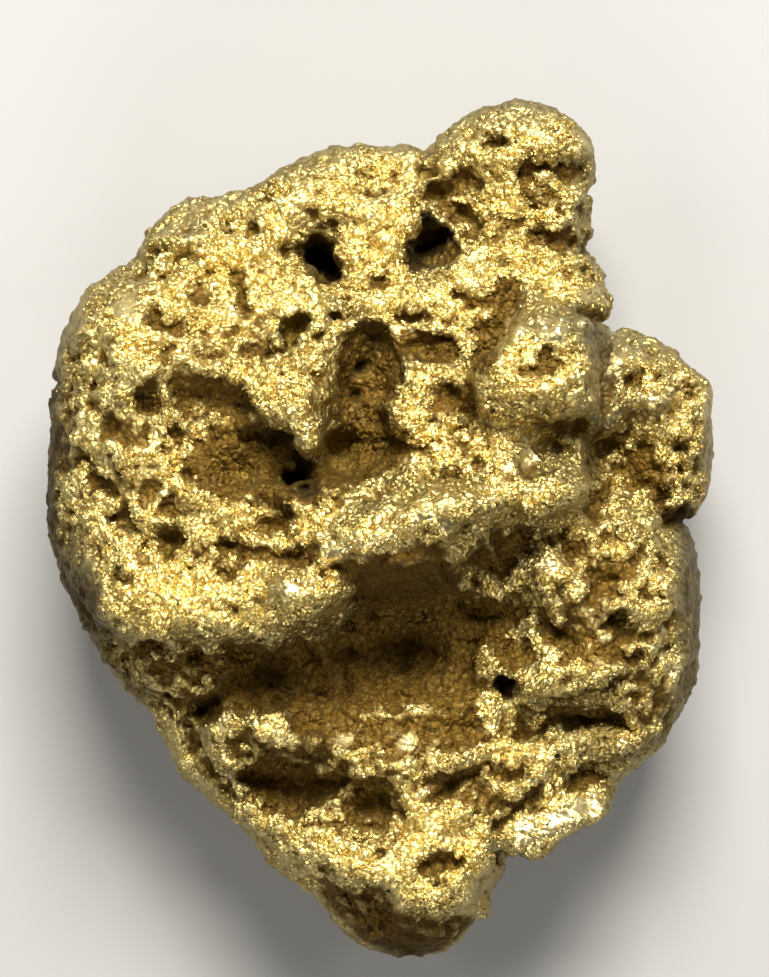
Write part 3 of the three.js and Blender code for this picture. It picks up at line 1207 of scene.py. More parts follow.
@dataclass
class Ledge(Region):
    """The crest that crosses the face, with its overhanging lip, and the bright band left of it."""

    name: str = "ledge"
    crest: Path = ((-3.4, -1.6), (-1.2, -0.9), (0.8, -0.2), (2.6, 0.7), (4.4, 0.2))
    crest_right: Path = ((4.2, 1.4), (6.6, 1.6), (9.0, 2.4), (9.9, 1.2), (12.0, 1.9), (13.6, 2.6))
    band: Path = (
        (-19.6, -6.0), (-16.6, -7.0), (-13.0, -7.0), (-9.0, -6.8), (-5.4, -6.5), (-3.0, -5.8), (-2.0, -4.4),
    )
    lip: Path = ((-3.4, -1.8), (0.4, -0.8), (4.2, -0.6), (6.0, -2.8), (5.0, -4.6), (0.6, -4.8), (-2.4, -4.2))

    def large(self) -> list[Form]:
        """The crest and the lumps along it.

        Returns:
            The forms.
        """
        return [
            Ramp(self.crest, 3.4, 1.3, 0.6),
            Ramp(self.crest_right, 2.4, 1.0, 0.8),
            Groove(((9.2, 1.2), (9.9, 2.6), (9.8, 4.8)), 1.1, 1.0),
            Basin(
                ((-9.4, -0.9), (-6.4, -1.0), (-4.2, -0.8), (-4.4, -2.1), (-7.2, -2.2), (-9.2, -2.2)),
                1.4, 0.7,
            ),
            Ramp(self.band, 3.6, 1.7, 0.8),
            Dab((-5.4, -4.6), (3.4, 1.8), -0.8, 10),
            Ramp(((-8.6, -0.7), (-6.6, -1.0), (-4.6, -0.7)), 1.2, 0.7, 0.5),
            Ramp(((-7.6, -3.6), (-5.6, -3.8), (-3.4, -3.2)), 1.5, 0.7, 0.6),
            Basin(((14.0, 3.2), (15.2, 2.8), (15.0, 0.6), (13.9, 0.4)), 1.4, 0.6),
            Dab((-7.8, 0.6), (1.4, 0.6), 0.7),
            Basin(((4.8, 0.6), (9.2, 1.2), (12.0, 1.0), (10.6, -1.0), (8.8, -3.2), (5.4, -3.4)), 0.5, 1.2),
            Dab((11.4, -2.4), (2.4, 1.6), -1.0),
        ]

    def small(self) -> list[Form]:
        """Wrinkles of the lip, its crack, and knots on the crest.

        Returns:
            The forms.
        """
        return [
            Groove(((4.0, -0.8), (4.3, -2.2), (5.0, -3.2)), 0.8, 0.9),
            Groove(((4.2, -3.0), (5.4, -3.2), (6.4, -4.4), (8.2, -4.0), (9.0, -3.4)), 0.9, -0.7),
            Dab((6.8, -3.4), (0.9, 0.5), 0.8),
            Groove(((0.2, -1.9), (1.6, -1.5), (3.4, -1.9)), 0.6, -0.5),
            Groove(((-1.4, -2.9), (0.8, -2.6), (3.4, -3.3)), 0.6, 0.35),
            Groove(((-0.6, -3.9), (1.8, -3.9), (4.2, -3.5)), 0.6, -0.35),
            Dab((3.6, 0.5), (0.9, 0.35), 0.5),
            Dab((2.2, 2.2), (1.4, 0.4), 0.4, 16),
            Dab((6.6, 2.9), (0.5, 1.2), 0.35, 30),
            Dab((4.0, 2.6), (0.4, 1.1), 0.35, 20),
            Dab((-2.9, 1.6), (0.35, 0.9), 0.4, -20),
            Groove(((-8.4, -2.4), (-7.6, -4.2), (-8.0, -5.0)), 0.6, 0.6),
            Groove(((-5.6, -2.4), (-4.6, -3.6), (-5.2, -5.0)), 0.5, 0.5),
            Dab((-12.8, -5.0), (1.0, 0.4), 0.4),
            Dab((-17.6, -6.1), (1.6, 0.4), 0.5, -6),
            Dab((-8.0, -4.4), (1.0, 0.4), -0.4),
            Groove(((7.1, -0.4), (7.1, -1.5)), 0.7, -0.7),
            Dab((-13.4, -2.9), (0.9, 0.9), 0.4),
        ]

    def stain(self) -> list[Form]:
        """Stain in the groove above the band, and under the lip.

        Returns:
            The patches.
        """
        return [
            Basin(((-9.6, -0.8), (-4.0, -0.7), (-4.0, -2.3), (-9.4, -2.5)), 1.1, 0.5),
            Dab((-9.8, -2.6), (1.4, 1.2), 0.8),
            Dab((9.6, 3.2), (0.6, 1.4), 0.5),
            Basin(((13.9, 3.4), (15.4, 2.9), (15.2, 0.4), (13.7, 0.2)), 1.0, 0.5),
            Basin(((4.6, -0.8), (9.0, 0.8), (10.6, 0.6), (9.6, -1.6), (8.4, -3.0), (5.6, -3.2)), 0.6, 0.8),
            Dab((-7.6, 0.8), (1.7, 0.9), 0.6),
            Basin(self.lip, 0.95, 0.6),
            Dab((3.5, 0.6), (1.2, 0.4), 0.6),
        ]

    def worn(self) -> list[Form]:
        """The lip's front is smooth.

        Returns:
            The patches.
        """
        return [
            Basin(self.lip, 1.2, 0.8),
            Dab((7.8, -1.6), (3.4, 2.4), 0.8),
        ]

    def polish_and_painted_highlight(self) -> list[Form]:
        """The crest's fold, and the end of the band.

        Returns:
            The patches.
        """
        return [
            Groove(self.crest, 1.1, 1.0),
            Dab((-6.2, -3.4), (1.8, 0.9), 0.9, 8),
            Dab((-3.8, -4.9), (1.3, 0.8), 0.7),
            Dab((7.0, 2.6), (1.6, 0.9), 0.6, 10),
        ]


@dataclass
class GreatHollow(Region):
    """The wide smooth hollow under the ledge."""

    name: str = "great hollow"
    outline: Path = (
        (-11.8, -8.0), (-8.6, -7.6), (-4.8, -7.3), (-2.0, -5.8), (-2.0, -2.6), (0.0, -1.9), (4.2, -1.2),
        (5.4, -3.4), (8.0, -4.4), (9.6, -5.2), (9.9, -6.8), (7.4, -8.4), (7.2, -10.0), (8.0, -11.6),
        (5.0, -12.9), (1.4, -12.2), (-2.6, -13.4), (-6.6, -12.6), (-10.6, -12.8),
    )
    floor: Path = (
        (-9.8, -9.0), (-4.0, -8.0), (-1.6, -4.6), (4.0, -4.0), (7.8, -6.6), (6.6, -9.4), (7.2, -11.6),
        (2.0, -12.0), (-2.6, -12.8), (-6.6, -12.0), (-9.4, -11.8),
    )

    def large(self) -> list[Form]:
        """The hollow and the deepest places of its floor.

        Returns:
            The forms.
        """
        return [
            Basin(self.outline, 1.0, 1.4),
            Basin(self.floor, -0.6, 2.4),
            Dab((1.6, -8.2), (3.0, 2.2), 0.9),
            Dab((-2.2, -10.8), (2.2, 1.8), 0.7),
            Dab((-8.4, -9.4), (2.6, 1.6), 0.6, 6),
            Groove(((-5.0, -7.2), (-5.6, -9.6), (-4.8, -11.6)), 1.8, -0.5),
            Dab((7.6, -11.0), (1.8, 0.9), 0.8, -8),
            Ramp(((7.8, -6.6), (8.8, -6.8), (9.9, -6.5)), 0.9, 0.6),
        ]

    def small(self) -> list[Form]:
        """A scatter of small pits in the floor, and a few flecks that stand up from it.

        Returns:
            The forms.
        """
        picker = random.Random(SEED)
        forms: list[Form] = []
        for _ in range(46):
            spot = (picker.uniform(-9.5, 8.0), picker.uniform(-12.4, -5.4))
            size = picker.uniform(0.3, 0.75)
            depth = picker.uniform(0.25, 0.75)
            forms.append(Dab(spot, (size, size * 0.8), depth, profile=Profile.PIT))
        for spot in ((-9.6, -9.2), (-8.6, -8.5), (-7.4, -9.2), (-5.8, -7.6), (-7.2, -7.6), (-8.4, -7.2)):
            forms.append(Dab(spot, (0.5, 0.35), -0.5, 30))
        return forms

    def stain(self) -> list[Form]:
        """The whole hollow is brown.

        Returns:
            The patches.
        """
        return [
            Basin(self.outline, 1.3, 0.8),
            Dab((1.6, -8.4), (3.0, 2.6), 1.4),
            Dab((-12.2, -9.2), (3.6, 2.6), 0.6),
            Dab((-14.0, -8.4), (1.6, 1.0), 0.5),
        ]

    def worn(self) -> list[Form]:
        """Its floor and walls are even and matte."""
        return [Basin(self.outline, 0.35, 0.9)]


@dataclass
class Cheek(Region):
    """The rows of small ridges down the right side."""

    name: str = "cheek"
    edge: Path = ((20.6, 0.2), (21.2, -2.0), (21.4, -5.0), (21.2, -8.0))

    def large(self) -> list[Form]:
        """The ridges and the grooves between them.

        Returns:
            The forms.
        """
        return [
            Ramp(((13.2, 0.0), (15.0, -1.2), (17.0, -1.6), (18.0, -0.9)), 1.5, 0.9),
            Ramp(((9.6, -3.8), (11.6, -4.5), (13.4, -4.3), (14.2, -3.6)), 2.6, 1.1),
            Ramp(((10.9, -5.6), (12.6, -5.6), (13.8, -5.2)), 0.8, 0.7),
            Basin(((13.6, -2.0), (15.6, -2.6), (17.4, -2.2), (16.6, -4.0), (14.6, -4.4)), 1.2, 0.9),
            Dab((15.1, -5.2), (1.2, 1.0), -0.8),
            Ramp(((7.4, -10.6), (9.6, -10.4), (11.8, -10.8), (14.2, -10.6)), 3.0, 1.1),
            Ramp(((14.6, -9.4), (16.0, -9.8), (18.0, -9.0)), 1.7, 0.8),
            Ramp(((13.8, -11.6), (15.6, -11.6), (17.6, -11.4)), 1.3, 0.7),
            Basin(((10.6, -12.2), (13.4, -12.2), (16.6, -12.0), (16.4, -13.6), (12.2, -13.4)), 1.3, 0.8),
            Ramp(((16.0, -4.8), (17.4, -5.6), (19.4, -5.2), (20.2, -4.2)), 1.3, 0.8),
            Groove(((16.6, -3.6), (17.6, -2.9), (18.2, -1.8)), 0.9, -0.6),
            Groove(((18.2, -4.0), (18.7, -2.6), (19.0, -1.6)), 0.6, 0.7),
            Ramp(((19.0, -4.0), (20.0, -3.4), (20.6, -1.6)), 1.4, 0.9),
            Ramp(((17.4, -14.0), (19.0, -14.2), (20.4, -13.4)), 1.2, 0.6),
            Basin(((10.4, -6.0), (13.4, -6.4), (13.6, -7.4), (10.8, -7.4)), 0.9, 0.8),
            Basin(((15.6, -6.2), (18.4, -6.4), (18.2, -7.6), (15.8, -7.6)), 0.9, 0.8),
            Groove(((15.2, -16.4), (16.8, -16.2)), 1.2, 0.8, side=Side.ALL),
            Ramp(((17.6, -7.8), (19.0, -7.6), (20.4, -7.8)), 1.2, 0.6),
        ]

    def small(self) -> list[Form]:
        """The dark pit and the beads beside it.

        Returns:
            The forms.
        """
        beads = (
            (10.5, -2.2), (11.3, -1.5), (11.6, -2.9), (10.9, -3.4), (12.8, -3.0), (15.6, -1.0), (16.4, -0.6),
        )
        return [
            Dab((8.5, -10.9), (1.0, 1.0), 1.9, profile=Profile.PIT),
            Dab((16.8, -14.7), (1.0, 0.9), -0.7),
            Dab((18.4, -7.0), (0.9, 0.7), 0.4),
            Dab((19.8, -9.6), (1.0, 0.8), -0.4),
            Dab((15.9, -9.2), (0.6, 0.5), -0.5),
            Dab((16.7, -8.3), (0.6, 0.5), -0.4),
            Dab((14.2, -0.9), (0.5, 0.4), -0.4),
            Dab((14.2, -1.9), (0.5, 0.5), 0.5),
            *(Dab(spot, (0.5, 0.45), -0.45) for spot in beads),
        ]

    def stain(self) -> list[Form]:
        """Stain in the grooves.

        Returns:
            The patches.
        """
        return [
            Basin(((10.2, -12.0), (16.8, -11.8), (16.6, -13.8), (12.0, -13.8)), 0.9, 0.6),
            Dab((8.5, -10.9), (1.4, 1.3), 1.2),
            Basin(((10.2, -5.8), (13.6, -6.2), (13.8, -7.6), (10.6, -7.6)), 0.8, 0.6),
            Basin(((13.4, -1.8), (17.6, -2.2), (16.6, -4.4), (14.2, -4.6)), 0.8, 0.7),
            Dab((16.8, -6.2), (1.4, 1.0), 0.7),
            Dab((14.4, -6.6), (1.0, 0.6), 0.5),
            Dab((18.6, -10.6), (1.8, 1.2), 0.5),
            Dab((11.6, -15.6), (1.4, 1.2), 0.75),
            Dab((9.2, -13.6), (1.8, 1.2), 0.7),
            Dab((18.4, -12.4), (1.6, 0.8), 0.5),
            Dab((20.6, -1.0), (0.9, 1.2), 0.4),
            Dab((15.4, -6.4), (9.4, 9.6), 0.62),
            Dab((16.2, -2.6), (2.2, 1.5), 0.9, 10, Profile.PIT),
            Dab((15.2, -8.4), (2.3, 1.2), 0.85, profile=Profile.PIT),
            Dab((18.6, -11.8), (2.2, 2.2), 0.75, profile=Profile.PIT),
            Dab((8.3, -8.5), (1.4, 1.7), 0.85, profile=Profile.PIT),
        ]

    def worn(self) -> list[Form]:
        """The outer edge is rubbed grey.

        Returns:
            The patches.
        """
        return [
            Groove(self.edge, 3.2, 1.2),
            Dab((20.8, -10.4), (1.7, 3.0), 0.8, -16),
            Dab((17.4, -6.8), (2.4, 1.0), 0.5),
        ]

    def pitch(self) -> list[Form]:
        """Painted shade in the pit left of the rows, and along the edge.

        Returns:
            The patches.
        """
        return [
            Dab((8.5, -10.9), (0.9, 0.9), 1.0, profile=Profile.PIT),
            Groove(((21.6, 0.0), (22.2, -4.0), (22.0, -8.0), (20.6, -12.6), (17.0, -15.6)), 4.0, 0.3),
        ]

    def polish_and_painted_highlight(self) -> list[Form]:
        """Knocks on the ridges, smoothed and with painted highlights.

        Returns:
            The patches.
        """
        return [
            Dab((19.3, -3.4), (0.8, 1.2), 1.0),
            Dab((17.8, -2.2), (0.5, 0.9), 0.6, -20),
            Dab((20.0, -9.4), (0.7, 0.9), 0.8),
            Dab((12.0, -4.6), (1.6, 0.5), 0.6),
            Dab((11.0, -2.4), (1.4, 1.3), 0.7),
            Dab((16.8, -14.7), (1.0, 0.8), 1.1),
        ]


@dataclass
class Heel(Region):
    """The plate behind the lower right, and the ridges in front of it."""

    name: str = "heel"
    bar: Path = ((10.0, -21.2), (12.4, -19.9), (14.8, -18.3))

    def large(self) -> list[Form]:
        """The bar and the step that sets the plate back.

        Returns:
            The forms.
        """
        return [
            Groove(self.bar, 2.2, -1.3, side=Side.ALL),
            Groove(((8.4, -20.2), (11.0, -18.0), (14.8, -16.7)), 1.3, 1.2, side=Side.ALL),
            Ramp(((9.4, -15.2), (11.2, -15.8), (12.8, -15.2)), 1.8, 0.8),
            Ramp(((8.0, -18.6), (9.8, -18.2), (11.4, -17.4)), 1.8, 0.7),
            Groove(((13.2, -14.6), (13.4, -16.4)), 1.0, -0.6),
            Groove(((8.0, -22.4), (9.4, -23.4)), 1.6, 1.2, side=Side.ALL),
        ]

    def small(self) -> list[Form]:
        """Mottled ridges.

        Returns:
            The forms.
        """
        return [
            Dab((11.8, -13.9), (0.8, 0.5), -0.4),
            Dab((8.8, -15.4), (0.9, 0.6), -0.5),
            Dab((7.4, -17.6), (1.0, 0.8), -0.5),
            Dab((9.4, -17.0), (0.8, 0.6), 0.5),
            Dab((12.6, -15.6), (0.5, 0.8), 0.5),
        ]

    def stain(self) -> list[Form]:
        """Stain in the step.

        Returns:
            The patches.
        """
        return [
            Groove(((8.4, -20.2), (11.0, -18.2), (14.8, -17.0)), 1.4, 0.8),
            Dab((8.6, -16.6), (1.6, 1.4), 0.65),
            Dab((12.0, -22.0), (3.4, 1.2), 0.6, 34),
        ]

    def worn(self) -> list[Form]:
        """The bar and the plate are polished."""
        return [Dab((13.0, -21.4), (3.4, 1.8), 1.1, 34)]

    def polish_and_painted_highlight(self) -> list[Form]:
        """The bar is burnished from end to end, and painted with a highlight."""
        return [Groove(self.bar, 2.0, 1.5)]


@dataclass
class Toe(Region):
    """The narrow end: a bright crest with a dark rounded tip below it."""

    name: str = "toe"
    crest: Path = (
        (-5.4, -21.6), (-3.2, -23.2), (-0.4, -24.0), (1.6, -25.3), (4.0, -25.2), (6.2, -25.2), (7.8, -23.2),
    )
    hollow: Path = (
        (-10.6, -16.6), (-8.0, -15.2), (-4.6, -15.8), (-1.4, -16.6), (-1.0, -18.0), (-3.8, -19.2),
        (-6.4, -19.8), (-9.0, -18.8),
    )
    rim: Path = ((-11.6, -17.4), (-10.0, -18.9), (-8.2, -20.7), (-6.6, -22.2))
    strip: Path = (
        (-6.0, -12.2), (0.0, -12.2), (7.0, -11.9), (7.8, -14.6), (3.4, -15.6), (-2.0, -15.0), (-6.4, -14.0),
    )

    def large(self) -> list[Form]:
        """The crest's edge, its pits, and the hollow above it.

        Returns:
            The forms.
        """
        return [
            Ramp(self.crest, 4.2, 1.5, 1.1),
            Basin(self.hollow, 1.7, 1.8),
            Basin(((2.6, -22.4), (4.6, -21.9), (6.4, -22.6), (5.2, -23.4), (3.0, -23.3)), 1.2, 0.6),
            Dab((-1.2, -19.7), (2.4, 1.3), 0.9),
            Dab((-0.6, -24.8), (1.1, 0.9), 0.8),
            Ramp(((1.6, -22.9), (2.8, -22.0), (3.8, -20.9)), 1.2, 0.5),
            Ramp(self.rim, 1.4, 0.8, 0.8, Side.ALL),
            Groove(((-13.6, -14.6), (-12.4, -16.4), (-10.6, -18.2)), 1.3, 1.6, side=Side.ALL),
            Basin(
                ((-12.8, -10.8), (-11.6, -11.0), (-11.4, -13.2), (-12.4, -13.8), (-13.1, -12.6)),
                2.0, 0.6,
            ),
            Ramp(((-11.4, -14.0), (-8.8, -13.6), (-6.2, -13.0)), 1.6, 0.9),
            Ramp(((-7.4, -14.4), (-4.4, -14.8), (-2.0, -15.0)), 1.4, 0.9),
            Basin(self.strip, 0.7, 1.4),
            Ramp(((-2.6, -14.4), (0.8, -14.2), (2.2, -14.8)), 1.0, 0.5),
            Ramp(((-1.4, -16.4), (0.4, -16.2), (2.0, -16.2)), 1.4, 0.8),
            Ramp(((3.6, -15.6), (5.4, -15.8), (7.4, -15.2)), 1.6, 0.8),
            Ramp(((2.2, -19.4), (4.4, -19.6), (6.6, -19.0)), 1.8, 0.7),
        ]

    def small(self) -> list[Form]:
        """The ridges above the crest and the glints on the tip.

        Returns:
            The forms.
        """
        return [
            Dab((2.8, -17.6), (0.8, 0.8), -0.9),
            Dab((4.2, -23.9), (0.6, 0.4), 0.9, profile=Profile.PIT),
            Dab((3.0, -27.3), (1.2, 0.6), -0.5),
            Dab((-0.5, -27.3), (0.8, 0.6), -0.5),
            Dab((7.2, -26.0), (0.5, 0.8), -0.4),
            Dab((5.0, -17.2), (1.4, 0.8), 0.7, 20),
            Dab((-3.6, -16.2), (1.0, 0.6), -0.5),
            Dab((-7.8, -16.6), (0.8, 0.5), -0.4),
            Dab((-1.4, -22.0), (1.6, 0.5), 0.5, -20),
            Dab((0.8, -21.4), (0.8, 0.4), 0.5),
            Dab((-4.0, -21.2), (0.8, 0.5), 0.4),
            Dab((2.2, -27.9), (2.0, 0.5), 0.4, 10),
            Dab((5.2, -26.8), (0.9, 0.6), 0.4),
            Dab((-14.8, -10.0), (1.2, 1.8), 0.6, 20),
            Dab((-16.2, -8.2), (0.9, 1.0), 0.5),
            Dab((-9.4, -14.8), (0.8, 0.6), 0.5),
        ]

    def stain(self) -> list[Form]:
        """Stain in the pits and over the tip.

        Returns:
            The patches.
        """
        return [
            Basin(self.hollow, 1.0, 0.7),
            Dab((-5.4, -14.6), (3.0, 0.5), 0.5, -8),
            Basin(
                ((-13.2, -10.6), (-11.3, -10.8), (-11.0, -13.4), (-12.4, -14.2), (-13.5, -12.6)),
                1.1, 0.5,
            ),
            Basin(((2.4, -22.3), (4.6, -21.7), (6.7, -22.5), (5.2, -23.6), (3.0, -23.5)), 0.9, 0.4),
            Dab((4.2, -23.9), (0.8, 0.6), 0.9),
            Dab((-0.8, -19.4), (3.0, 1.2), 0.55),
            Basin(
                (
                    (-4.6, -23.4), (0.6, -25.4), (2.0, -26.2), (6.2, -26.0), (7.6, -27.0), (2.4, -30.6),
                    (-4.0, -27.0),
                ),
                0.9, 0.8,
            ),
            Dab((-12.0, -16.6), (0.9, 2.6), 0.85, 38),
            Basin(((2.6, -16.4), (6.4, -16.2), (7.4, -17.6), (4.4, -18.8), (2.4, -18.6)), 0.7, 0.8),
            Dab((-0.5, -24.8), (1.2, 0.9), 0.7),
            Basin(((-17.8, -7.2), (-9.0, -7.2), (-10.0, -13.4), (-13.6, -14.0), (-17.0, -10.8)), 0.6, 1.0),
            Basin(
                (
                    (-11.6, -13.4), (-6.0, -13.2), (2.0, -13.2), (7.6, -13.8), (7.6, -18.8), (2.0, -20.2),
                    (-3.0, -20.8), (-7.2, -20.6), (-11.0, -17.2),
                ),
                0.54,
                1.0,
            ),
            Dab((-9.4, -15.2), (1.6, 0.9), 0.6),
            Dab((0.0, -17.9), (1.6, 0.9), 0.6),
            Basin(self.strip, 0.95, 0.6),
            Dab((7.0, -18.6), (2.4, 1.2), 0.8, profile=Profile.PIT),
        ]

    def worn(self) -> list[Form]:
        """The dish above the crest, and the tip.

        Returns:
            The patches.
        """
        return [
            Dab((-1.2, -19.8), (2.2, 1.1), 0.5),
            Dab((2.0, -28.0), (4.0, 2.0), 0.9),
            Dab((-15.4, -9.6), (1.8, 3.4), 0.75, 30),
        ]

    def pitch(self) -> list[Form]:
        """Painted shade in two small black pits, and over the tip.

        Returns:
            The patches.
        """
        return [
            Basin(
                ((-12.8, -11.2), (-11.7, -11.3), (-11.6, -13.0), (-12.4, -13.5), (-12.9, -12.6)),
                0.9, 0.4,
            ),
            Dab((4.2, -23.9), (0.6, 0.4), 0.9, profile=Profile.PIT),
            Dab((1.6, -28.6), (5.4, 3.2), 0.5),
        ]

    def polish_and_painted_highlight(self) -> list[Form]:
        """A few knocked grains, smoothed and with painted highlights.

        Returns:
            The patches.
        """
        return [
            Dab((2.9, -17.6), (0.7, 0.8), 1.1),
            Dab((-1.6, -21.8), (1.6, 0.6), 0.6, -20),
            Dab((4.6, -24.6), (1.4, 0.5), 0.7),
            Dab((-2.6, -14.0), (0.8, 0.5), 0.7),
            Dab((1.2, -14.4), (0.8, 0.5), 0.7),
        ]


@dataclass
class Sole(Region):
    """The underside and the sides, which have shallow dimples and low swellings all over."""

    name: str = "sole"
    dimples: int = 130
    reach: Point2 = (23.0, 29.0)

    def large(self) -> list[Form]:
        """Dimples and swellings, spread by chance.

        Returns:
            The forms.
        """
        picker = random.Random(SEED + 1)
        forms: list[Form] = []
        for _ in range(self.dimples):
            spot = tuple(picker.uniform(-far, far) for far in self.reach)
            size = picker.uniform(1.0, 3.2)
            depth = picker.uniform(-0.5, 0.9)
            shape = (size, size * picker.uniform(0.5, 1.0))
            forms.append(Dab(spot, shape, depth, picker.uniform(0, 180), side=Side.SOLE))
        return forms


REGIONS: tuple[Region, ...] = (
    Head(),
    Crown(),
    Shoulder(),
    Cavities(),
    Boss(),
    Ledge(),
    GreatHollow(),
    Cheek(),
    Heel(),
    Toe(),
    Sole(),
)


# --------------------------------------------------------------------------------------------------
# The nugget
# --------------------------------------------------------------------------------------------------


def linked(name: str, mesh: bpy.types.Mesh) -> bpy.types.Object:
    """Puts a mesh into the scene as an object of its own.

    Args:
        name: The object's name.
        mesh: Its mesh.

    Returns:
        The object.
    """
    item = bpy.data.objects.new(name, mesh)
    bpy.context.scene.collection.objects.link(item)
    return item


@dataclass
class Nugget:
    """The nugget's metal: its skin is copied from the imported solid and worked."""

    first_cell: float = 0.45
    second_cell: float = 0.34
    last_cell: float = 0.25
    most_triangles: int = 196000
    large_gain: float = 1.25
    small_gain: float = 1.3
    swell_height: float = 0.3
    ridge_height: float = 0.48
    lump_height: float = 0.6
    pit_depth: float = 1.1
    facet_height: float = 0.24
    grit_height: float = 0.14
    pock_depth: float = 0.3
    marked_from: float = 6.0
    marked_above: float = 11.0
    regions: tuple[Region, ...] = REGIONS

    def block_out(self) -> Clay:
        """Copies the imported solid's skin and evens out its facets.

        Returns:
            The skin, in millimetres.
        """
        mesh = bpy.data.meshes.new("gold_nugget")
        shell = bmesh.new()
        shell.from_mesh(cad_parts[NODE].data)
        bmesh.ops.remove_doubles(shell, verts=shell.verts, dist=0.001 * MM)
        bmesh.ops.scale(shell, vec=(1 / MM,) * 3, verts=shell.verts)
        shell.to_mesh(mesh)
        shell.free()
        clay = Clay(linked("gold_nugget", mesh))
        clay.remesh(self.first_cell)
        clay.smooth(5)
        return clay

    def shape(self, clay: Clay) -> None:
        """Presses the regions' forms into the skin, and roughens it in ever smaller steps.

        Args:
            clay: The skin.
        """
        clay.press((form for region in self.regions for form in region.large()), self.large_gain)
        clay.remesh(self.second_cell)
        clay.smooth(1)
        clay.swell(self.crags(clay))
        clay.press((form for region in self.regions for form in region.small()), self.small_gain)
        clay.remesh(self.last_cell)
        clay.swell(self.grit(clay))
        clay.drop_bits()

    def steepness(self, clay: Clay, times: int) -> np.ndarray:
        """How steep the skin is, from 0 where it faces up to 1 where it turns over the edge.

        Args:
            clay: The skin.
            times: How widely the skin's direction is spread before it is read.

        Returns:
            A share for each corner.
        """
        return 1.0 - smooth_step(0.2, 0.88, clay.evened(clay.normals(), times)[:, 2])

    def crags(self, clay: Clay) -> np.ndarray:
        """Broken ridges, lumps and pits all over, gentler over the edges.

        Args:
            clay: The skin.

        Returns:
            A height in millimetres for each corner.
        """
        points = clay.points()
        over = smooth_step(0.35, 1.0, self.steepness(clay, 30))
        smooth = np.maximum(self.mask(points, Mark.WORN), self.mask(points, Mark.POLISH_AND_PAINTED_HIGHLIGHT))
        rough = (1.0 - 0.75 * smooth) * (1.0 - 0.6 * over)
        bent = bend(points)
        broad = self.swell_height * read_field(points, 4.2, 1, noise.noise)
        ridges = self.ridge_height * (read_field(points, 3.4, 2, crag) - 1.0)
        lumps = self.lump_height * (read_field(bent, 1.7, 3, cobble) - 0.5)
        pits = self.pit_depth * read_field(bent, 2.3, 4, pock)
        return broad + (ridges + lumps - pits) * rough

    def grit(self, clay: Clay) -> np.ndarray:
        """The coarse grain of the metal.

        Args:
            clay: The skin.

        Returns:
            A height in millimetres for each corner.
        """
        points = clay.points()
        smooth = np.maximum(self.mask(points, Mark.WORN), self.mask(points, Mark.POLISH_AND_PAINTED_HIGHLIGHT))
        rough = 1.0 - 0.55 * smooth
        coarse = self.facet_height * read_field(points, 0.8, 5, facet)
        fine = self.grit_height * read_field(points, 0.62, 6, noise.noise)
        pits = self.pock_depth * read_field(points, 1.2, 7, pock)
        return (coarse + fine - pits) * rough

    def mask(self, points: np.ndarray, mark: Mark) -> np.ndarray:
        """How strongly each place is marked. Marks fade out raggedly down the sides.

        Args:
            points: Places in millimetres.
            mark: The mark asked for.

        Returns:
            A share from 0 to 1.5 for each place.
        """
        total = np.zeros(len(points))
        bent = bend(points)
        for region in self.regions:
            for patch in getattr(region, mark.value)():
                total = np.maximum(total, patch.strength(bent))
        height = points[:, 2] + 4.0 * read_field(points, 3.6, 12, noise.noise)
        return total * smooth_step(self.marked_from, self.marked_above, height)

    def record(self, clay: Clay) -> None:
        """Stores what the finish and the grains read: the marks, and how shut in and steep each place is.

        Stain gathers where the skin is shut in or hollow, beside the regions' own patches.

        Args:
            clay: The skin.
        """
        points = clay.points()
        normals = clay.normals()
        near = np.einsum("ij,ij->i", clay.evened(points, 12) - points, normals)
        wide = np.einsum("ij,ij->i", clay.evened(points, 50) - points, normals)
        cloud = read_field(points, 2.6, 8, noise.noise) + 0.5 * read_field(points, 0.9, 9, noise.noise)
        shut = clay.evened((1.0 - clay.openness(10, 7.0))[:, None], 2)[:, 0]
        # This mask also marks where a highlight is painted, and stain is cleared from it.
        polish_and_painted_highlight = np.clip(self.mask(points, Mark.POLISH_AND_PAINTED_HIGHLIGHT), 0.0, 1.0)
        patch = self.mask(points, Mark.STAIN)
        stain = 1.75 * patch**0.85 - 1.1 * polish_and_painted_highlight + 1.1 * (shut - 0.34) + cloud * (0.7 - 0.3 * patch)
        stain += np.clip(2.2 * near, -0.3, 0.5) + np.clip(1.2 * wide, -0.18, 0.5)
        steep = self.steepness(clay, 40)
        worn = np.maximum(0.9 * self.mask(points, Mark.WORN), 0.3 * steep)
        clay.keep("stain", smooth_step(0.25, 0.85, stain))
        clay.keep("worn", np.clip(worn, 0.0, 1.0))
        clay.keep("shut", np.clip(shut, 0.0, 1.0))
        clay.keep("steep", steep)
        # The painted shade of deep pits and edges, which the finish mixes toward the shadow colour.
        clay.keep("pitch", np.clip(self.mask(points, Mark.PAINTED_SHADE), 0.0, 1.0))
        clay.keep("polish_and_painted_highlight", polish_and_painted_highlight)

    def build(self) -> Clay:
        """Makes the worked skin.

        Returns:
            The skin, in millimetres.
        """
        clay = self.block_out()
        for region in self.regions:
            LOG.info("%s: %d forms", region.name, len(region.large()) + len(region.small()))
        self.shape(clay)
        clay.thin(self.most_triangles)
        clay.settle()
        self.record(clay)
        clay.mesh.polygons.foreach_set("use_smooth", [True] * len(clay.mesh.polygons))
        return clay


